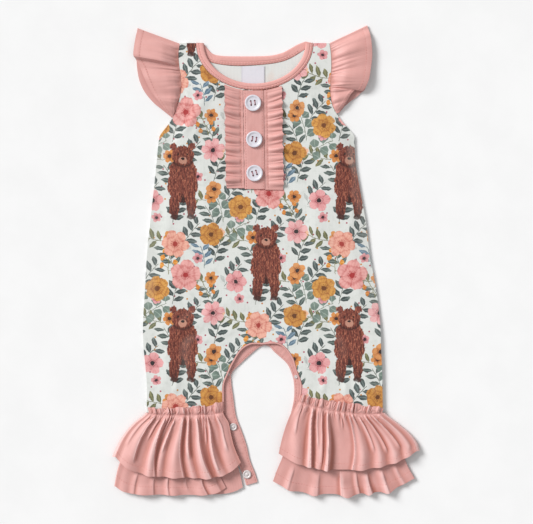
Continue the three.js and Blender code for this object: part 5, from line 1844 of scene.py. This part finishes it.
    def paint(self, tree: bpy.types.NodeTree, place: Field) -> Field:
        """Paints the whole repeat.

        Args:
            tree: the material's tree.
            place: the place on the cloth in millimetres.

        Returns:
            The print's colour.
        """
        links = {"Vector": place.vector("SCALE", 0.3), "Scale": 1.0, "Detail": 2.0}
        cloud = Field(tree, add_node(tree, "ShaderNodeTexNoise", links).outputs[1])
        shift = cloud.vector("SUBTRACT", (0.5, 0.5, 0.5)).vector("SCALE", 2 * self.bleed)
        painted = place.vector("ADD", shift)
        mottle = place.grain(0.16, 3.0)
        colour = lay(self.ground, "#cfd2cd", mottle.fade(0.45, 0.75))
        cells = {"Vector": place, "Scale": 1 / self.dot_spacing, "Randomness": 0.9}
        voronoi = add_node(tree, "ShaderNodeTexVoronoi", cells, voronoi_dimensions="2D")
        near, chance = Field(tree, voronoi.outputs["Distance"]), Field(tree, voronoi.outputs["Color"])
        pick, _ = chance.axes()
        dot = near.fade(0.1, 0.06)
        colour = lay(colour, "#a8485c", dot * pick.fade(0.30, 0.32))
        colour = lay(colour, "#c98a3c", dot * pick.fade(0.70, 0.72))
        repeat, bloom, sprig = self.repeat_group(), self.bloom_group(), self.sprig_group()

        def local(x: float, y: float, turn: float, copies: float) -> Field:
            """Places seen from one motif of the repeat.

            Args:
                x: the motif's middle.
                y: the motif's middle.
                turn: how far it is turned, in degrees.
                copies: how often it comes in one repeat, each way.

            Returns:
                The place from the motif's middle, as a vector.
            """
            links = {"Place": painted, "Centre": (x, y, 0.0), "Turn": math.radians(turn)}
            links |= {"Width": self.width / copies, "Height": self.height / copies}
            return use_group(repeat, tree, links)[0]

        for leaf in SPRIGS:
            links = {"Local": local(leaf.x, leaf.y, leaf.turn, leaf.copies), "Mottle": mottle, "Length": leaf.length}
            links |= {"Pitch": leaf.pitch, "Leaf": leaf.leaf, "Width": leaf.width, "Reach": leaf.reach}
            links |= {"Splay": math.radians(leaf.splay), "Bend": leaf.bend}
            cover, vein, stem = use_group(sprig, tree, links)
            colour = lay(lay(colour, leaf.stem, stem), lay(leaf.colour, leaf.vein, vein), cover)
        for flower in BLOOMS:
            links = {"Local": local(flower.x, flower.y, flower.turn, flower.copies), "Mottle": mottle}
            links |= {"Radius": flower.radius, "Petals": flower.petals, "Notch": flower.notch}
            links |= {"Heart": flower.heart, "Layers": flower.layers}
            cover, shade, core = use_group(bloom, tree, links)
            colour = lay(colour, lay(lay(flower.petal, flower.shade, shade), flower.core, core), cover)
        return use_group(self.bear_group(), tree, {"Under": colour, "Local": local(0.0, 0.0, 0.0, 1.0)})[0]


# Finishes
@dataclass(frozen=True)
class Finish:
    """What every finish has: a name, a shine and a bump made from its own relief."""

    name: str
    roughness: float = 0.8
    ior: float = 1.5
    sheen: float = 0.0
    coat: float = 0.0

    def start(self) -> tuple[bpy.types.Material, bpy.types.NodeTree, bpy.types.Node]:
        """A new material with its shader, the uniform numbers set on the shader's own sockets."""
        material = bpy.data.materials.new(self.name)
        material.use_nodes = True
        tree = material.node_tree
        tree.nodes.clear()
        given = {"Roughness": self.roughness, "IOR": self.ior, "Sheen Weight": self.sheen, "Sheen Roughness": 0.45}
        given |= {"Coat Weight": self.coat, "Coat Roughness": 0.2}
        shader = add_node(tree, "ShaderNodeBsdfPrincipled", given)
        add_node(tree, "ShaderNodeOutputMaterial", {"Surface": shader.outputs[0]})
        return material, tree, shader

    def fold(self, tree: bpy.types.NodeTree) -> Field:
        """The cloth's folds: below 0 in a valley, above 0 on a ridge."""
        return Field(tree, add_node(tree, "ShaderNodeAttribute", attribute_name="fold").outputs["Fac"])

    def close(
        self, material: bpy.types.Material, shader: bpy.types.Node, colour: Field, height: Field, depth: float
    ) -> bpy.types.Material:
        """Gives a material its colour and its relief.

        Args:
            material: the new material.
            shader: its shader.
            colour: its colour.
            height: its relief, from 0 to 1.
            depth: how deep that is, in metres.

        Returns:
            The material.
        """
        colour.tree.links.new(colour.socket, shader.inputs["Base Color"])
        self.relief(colour.tree, shader, height, depth)
        return material

    @staticmethod
    def relief(tree: bpy.types.NodeTree, shader: bpy.types.Node, height: Field, depth: float) -> None:
        """Links a bump of some depth in metres to the shader."""
        bump = add_node(tree, "ShaderNodeBump", {"Strength": 1.0, "Distance": depth, "Height": height})
        tree.links.new(bump.outputs[0], shader.inputs["Normal"])

    @staticmethod
    def cloth_place(tree: bpy.types.NodeTree) -> Field:
        """The place on the flat cloth in millimetres, from the piece's UV map."""
        return Field(tree, add_node(tree, "ShaderNodeUVMap", uv_map="UVMap").outputs[0]).vector("SCALE", 1000.0)

    @staticmethod
    def object_place(tree: bpy.types.NodeTree) -> Field:
        """The place on the garment in millimetres."""
        return Field(tree, add_node(tree, "ShaderNodeTexCoord").outputs["Object"]).vector("SCALE", 1000.0)

    @staticmethod
    def knit(place: Field, wale: float, course: float) -> Field:
        """Height of a plain knit: columns of small loops, each leaning to its column's middle.

        Args:
            place: place on the cloth in millimetres.
            wale: spacing of the columns.
            course: spacing of the rows.

        Returns:
            Height from 0 to 1.
        """
        x, y = place.axes()
        column = (x * (math.pi / wale)).math("SINE").math("ABSOLUTE")
        loops = (y * (2 * math.pi / course) + column * 2.2).math("SINE") * 0.5 + 0.5
        return column * 0.6 + column * loops * 0.4


@dataclass(frozen=True)
class PinkJersey(Finish):
    """Dyed cotton jersey with a soft milk-silk face that takes light softly; its colour carries painted shade in the
    folds' valleys and between the knit's loops, and a painted highlight on the folds' ridges.
    """

    colour: str = "#d9a29c"
    # Painted shade colour for the folds' valleys and the knit's gaps, also used for a random mottle
    painted_shade_and_mottle: str = "#a8604f"
    # Painted highlight colour for the folds' ridges
    pale: str = "#e8c3c0"
    wale: float = 1.5
    course: float = 1.9
    depth: float = 0.00006

    def make(self) -> bpy.types.Material:
        """Makes the material. The knit is drawn at about twice its real 0.8 mm spacing, to show at all."""
        material, tree, shader = self.start()
        place = self.cloth_place(tree)
        fold = self.fold(tree)
        knit = self.knit(place, self.wale, self.course)
        cloudy = place.grain(0.11, 3.0)
        # Painted shade: the folds' valleys are darkened by their depth
        colour = lay(self.colour, self.painted_shade_and_mottle, fold.fade(0.15, -0.8) * 0.8)
        # Painted highlight: the folds' ridges are lightened by their height
        colour = lay(colour, self.pale, fold.fade(0.1, 0.9) * 0.75)
        colour = lay(colour, self.painted_shade_and_mottle, cloudy.fade(0.35, 0.8) * 0.10)
        # Painted shade in the gaps between the knit's loops
        colour = lay(colour, self.painted_shade_and_mottle, knit.fade(0.4, 0.0) * 0.10)
        tree.links.new(colour.socket, shader.inputs["Base Color"])
        slub = place.grain(0.5, 2.0, (1.0, 0.35, 1.0))
        self.relief(tree, shader, knit + slub * 0.8, self.depth)
        return material


@dataclass(frozen=True)
class RibBinding(Finish):
    """Fine ribbed jersey binding: short ribs across the band catch the light."""

    colour: str = "#e2a8a1"
    painted_shade_and_mottle: str = "#c98279"
    rib: float = 1.3
    depth: float = 0.00012

    def make(self) -> bpy.types.Material:
        """Makes the material from the place along the band."""
        material, tree, shader = self.start()
        place = self.cloth_place(tree)
        x, _ = place.axes()
        ribs = (x * (2 * math.pi / self.rib) + place.grain(0.4) * 1.5).math("SINE") * 0.5 + 0.5
        # Painted shade between the ribs, with a random mottle in the same colour
        colour = lay(self.colour, self.painted_shade_and_mottle, ribs.fade(0.6, 0.0) * 0.3 + place.grain(0.2, 3.0).fade(0.5, 0.9) * 0.25)
        return self.close(material, shader, colour, ribs, self.depth)


@dataclass(frozen=True)
class PrintedJersey(Finish):
    """White cotton jersey with a pigment print: matt, with painted shade in the gaps between the knit's loops and in
    the valleys of its folds.
    """

    design: FloralPrint = FloralPrint()
    depth: float = 0.00005

    def make(self) -> bpy.types.Material:
        """Makes the material in the garment's own coordinates."""
        material, tree, shader = self.start()
        place = self.object_place(tree)
        knit = self.knit(place, 1.5, 1.9)
        colour = self.design.paint(tree, place)
        # Painted shade in the gaps between the knit's loops
        colour = lay(colour, "#b9b9b4", knit.fade(0.45, 0.0) * 0.10)
        fold = self.fold(tree)
        # Painted shade: the print is greyed in the folds' valleys
        colour = lay(colour, "#a9a9a2", fold.fade(0.0, -0.8) * 0.5)
        return self.close(material, shader, colour, knit, self.depth)


@dataclass(frozen=True)
class JerseyReverse(Finish):
    """The wrong side of the printed jersey: plain white loops with the print's faint shadow."""

    colour: str = "#dcdcd9"
    shadow: str = "#bfc0bb"
    depth: float = 0.00006

    def make(self) -> bpy.types.Material:
        """Makes the material."""
        material, tree, shader = self.start()
        place = self.object_place(tree)
        knit = self.knit(place, 1.5, 1.1)
        colour = lay(self.colour, self.shadow, place.grain(0.06, 2.0).fade(0.5, 0.75) * 0.5)
        colour = lay(colour, "#d9c3b6", place.grain(0.05, 1.0, (1.3, 0.8, 1.0)).fade(0.58, 0.75) * 0.35)
        # Painted shade in the gaps between the loops
        colour = lay(colour, self.shadow, knit.fade(0.4, 0.0) * 0.35)
        return self.close(material, shader, colour, knit, self.depth)


@dataclass(frozen=True)
class WovenLabel(Finish):
    """Satin-woven label tape: fine rows of weft with a slight silky shine and a closed woven edge."""

    colour: str = "#dedbe2"
    edge: str = "#c7c4cc"
    box: tuple[float, float, float, float] = LABEL_BOX

    def make(self) -> bpy.types.Material:
        """Makes the material. The face is bare."""
        material, tree, shader = self.start()
        place = self.object_place(tree)
        x, y = place.axes()
        weft = (y * (2 * math.pi / 0.9)).math("SINE") * 0.5 + 0.5
        left, right, _, _ = self.box
        side = (x - (left + right) / 2).math("ABSOLUTE")
        colour = lay(self.colour, self.edge, side.fade((right - left) / 2 - 1.3, (right - left) / 2 - 0.8) * 0.7)
        # Painted shade between the weft rows, with a random mottle in the same edge colour
        colour = lay(colour, self.edge, weft.fade(0.6, 0.0) * 0.25 + place.grain(0.3).fade(0.4, 0.8) * 0.15)
        return self.close(material, shader, colour, weft, 0.00005)


@dataclass(frozen=True)
class MouldedPlastic(Finish):
    """Moulded polyester or resin, faintly pearly: cloudy streaks under a smooth gloss."""

    colour: str = "#dcdae2"
    streak: str = "#c4c1cb"
    swirl: float = 0.35
    polish: float = 0.12

    def make(self) -> bpy.types.Material:
        """Makes the material with slightly uneven polish."""
        material, tree, shader = self.start()
        place = self.object_place(tree)
        cloudy = place.grain(self.swirl, 3.0, (1.0, 0.6, 1.0))
        colour = lay(self.colour, self.streak, cloudy.fade(0.4, 0.8) * 0.6)
        tree.links.new(colour.socket, shader.inputs["Base Color"])
        polish = place.grain(1.2, 2.0) * self.polish + (self.roughness - self.polish / 2)
        tree.links.new(polish.socket, shader.inputs["Roughness"])
        self.relief(tree, shader, place.grain(0.8, 1.0), 0.00003)
        return material


@dataclass(frozen=True)
class SewingThread(Finish):
    """Spun polyester sewing thread: a tight twist of two plies with a slight sheen."""

    colour: str = "#d99a92"
    painted_shade_and_mottle: str = "#b8736a"
    twist: float = 0.55

    def make(self) -> bpy.types.Material:
        """Makes the material with slanting plies."""
        material, tree, shader = self.start()
        place = self.object_place(tree)
        x, y = place.axes()
        plies = ((x + y) * (2 * math.pi / self.twist)).math("SINE") * 0.5 + 0.5
        # Painted shade in the grooves between the plies, with a random mottle in the same colour
        colour = lay(self.colour, self.painted_shade_and_mottle, plies.fade(0.7, 0.1) * 0.5 + place.grain(0.3).fade(0.4, 0.8) * 0.3)
        return self.close(material, shader, colour, plies, 0.00004)


@dataclass(frozen=True)
class StudioFloor(Finish):
    """Matt white photographic paper: even, with a barely visible tooth."""

    colour: str = "#f1f1f1"
    tooth: str = "#eeeeee"

    def make(self) -> bpy.types.Material:
        """Makes the material."""
        material, tree, shader = self.start()
        place = self.object_place(tree)
        colour = lay(self.colour, self.tooth, place.grain(0.02, 3.0).fade(0.3, 0.7))
        tree.links.new(colour.socket, shader.inputs["Base Color"])
        return material


def make_finishes() -> dict[str, bpy.types.Material]:
    """All the garment's materials by name."""
    finishes = (
        PrintedJersey("printed_jersey", 0.85, 1.45, 0.05), JerseyReverse("jersey_reverse", 0.9, 1.45, 0.05),
        PinkJersey("pink_jersey", 0.5, 1.48, 0.2), RibBinding("rib_binding", 0.75, 1.46, 0.1),
        WovenLabel("woven_label", 0.55, 1.5), MouldedPlastic("button_plastic", 0.28, 1.56, 0.0, 0.3),
        MouldedPlastic("snap_resin", 0.3, 1.52, 0.0, 0.2, "#d8d0cf", "#b9aeae", 0.6, 0.1),
        SewingThread("pink_thread", 0.6, 1.5),
        SewingThread("rose_thread", 0.6, 1.5, 0.0, 0.0, "#b0707a", "#8d4d58"),
        StudioFloor("studio_floor", 0.9, 1.4),
    )
    return {finish.name: finish.make() for finish in finishes}


@dataclass
class Studio:
    """A pale floor, a broad sun from the upper left, an even white sky, and a camera straight above."""

    floor_material: bpy.types.Material
    camera_x: float = 0.0005
    camera_y: float = -0.0011
    distance: float = 1.334
    lens: float = 85.0
    key_from: tuple[float, float, float] = (-0.80, 0.60, 0.72)
    key_angle: float = 24.0
    key_strength: float = 3.1
    world_strength: float = 0.50
    floor_half: float = 3.0
    floor_top: float = -0.0004

    def build(self) -> None:
        """Builds the floor, lights and camera."""
        scene = bpy.context.scene
        scene.view_settings.view_transform = "Standard"
        mesh = bpy.data.meshes.new("floor")
        signs = ((-1, -1), (1, -1), (1, 1), (-1, 1))
        corners = [(x * self.floor_half, y * self.floor_half, self.floor_top) for x, y in signs]
        mesh.from_pydata(corners, [], [(0, 1, 2, 3)])
        floor = finish_mesh("floor", mesh)
        floor.data.materials.append(self.floor_material)
        world = bpy.data.worlds.new("studio")
        world.use_nodes = True
        scene.world = world
        background = world.node_tree.nodes["Background"]
        background.inputs[0].default_value = (1.0, 1.0, 1.0, 1.0)
        background.inputs[1].default_value = self.world_strength
        light = bpy.data.lights.new("key", "SUN")
        light.angle, light.energy = math.radians(self.key_angle), self.key_strength
        lamp = bpy.data.objects.new("key", light)
        lamp.location = self.key_from
        lamp.rotation_euler = (-Vector(self.key_from)).to_track_quat("-Z", "Y").to_euler()
        scene.collection.objects.link(lamp)
        lens = bpy.data.cameras.new("camera")
        lens.lens, lens.sensor_width, lens.clip_start = self.lens, 36.0, 0.01
        camera = bpy.data.objects.new("camera", lens)
        camera.location = (self.camera_x, self.camera_y, self.distance)
        scene.collection.objects.link(camera)
        scene.camera = camera


def main() -> None:
    """Builds the whole garment in order."""
    logging.basicConfig(level=logging.INFO, format="%(name)s: %(message)s")
    finishes = make_finishes()
    Studio(finishes["studio_floor"]).build()
    wardrobe = Wardrobe(finishes)
    sewing = Sewing(wardrobe)
    BodyPanels(wardrobe).build()
    NeckTrim(wardrobe, sewing).build()
    Inseam(wardrobe, sewing).build()
    for side, table in ((-1, SLEEVE_LEFT), (1, SLEEVE_RIGHT)):
        Sleeve(wardrobe, sewing, side, table).build()
    for side, tier, rows, folds, creases, squared, dip, gathers, flat, area in (
        (
            -1, Tier.LOWER, LOWER_LEFT_ROWS, LOWER_LEFT_FOLDS, LOWER_LEFT_CREASES,
            6, 0.15, 12, (0.265, 0.088), 0.0227,
        ),
        (
            1, Tier.LOWER, LOWER_RIGHT_ROWS, LOWER_RIGHT_FOLDS, LOWER_RIGHT_CREASES,
            3.2, 0.9, 13, (0.309, 0.0915), 0.02665,
        ),
        (
            -1, Tier.UPPER, UPPER_LEFT_ROWS, UPPER_LEFT_FOLDS, UPPER_LEFT_CREASES,
            4, 0.25, 12, (0.304, 0.078), 0.0211,
        ),
        (
            1, Tier.UPPER, UPPER_RIGHT_ROWS, UPPER_RIGHT_FOLDS, UPPER_RIGHT_CREASES,
            2.5, 0.3, 13, (0.314, 0.0742), 0.0207,
        ),
    ):
        Ruffle(wardrobe, sewing, side, tier, rows, folds, creases, squared, dip, gathers, flat, area).build()
    Placket(wardrobe, sewing).build()
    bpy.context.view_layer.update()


if __name__ == "__main__":
    main()
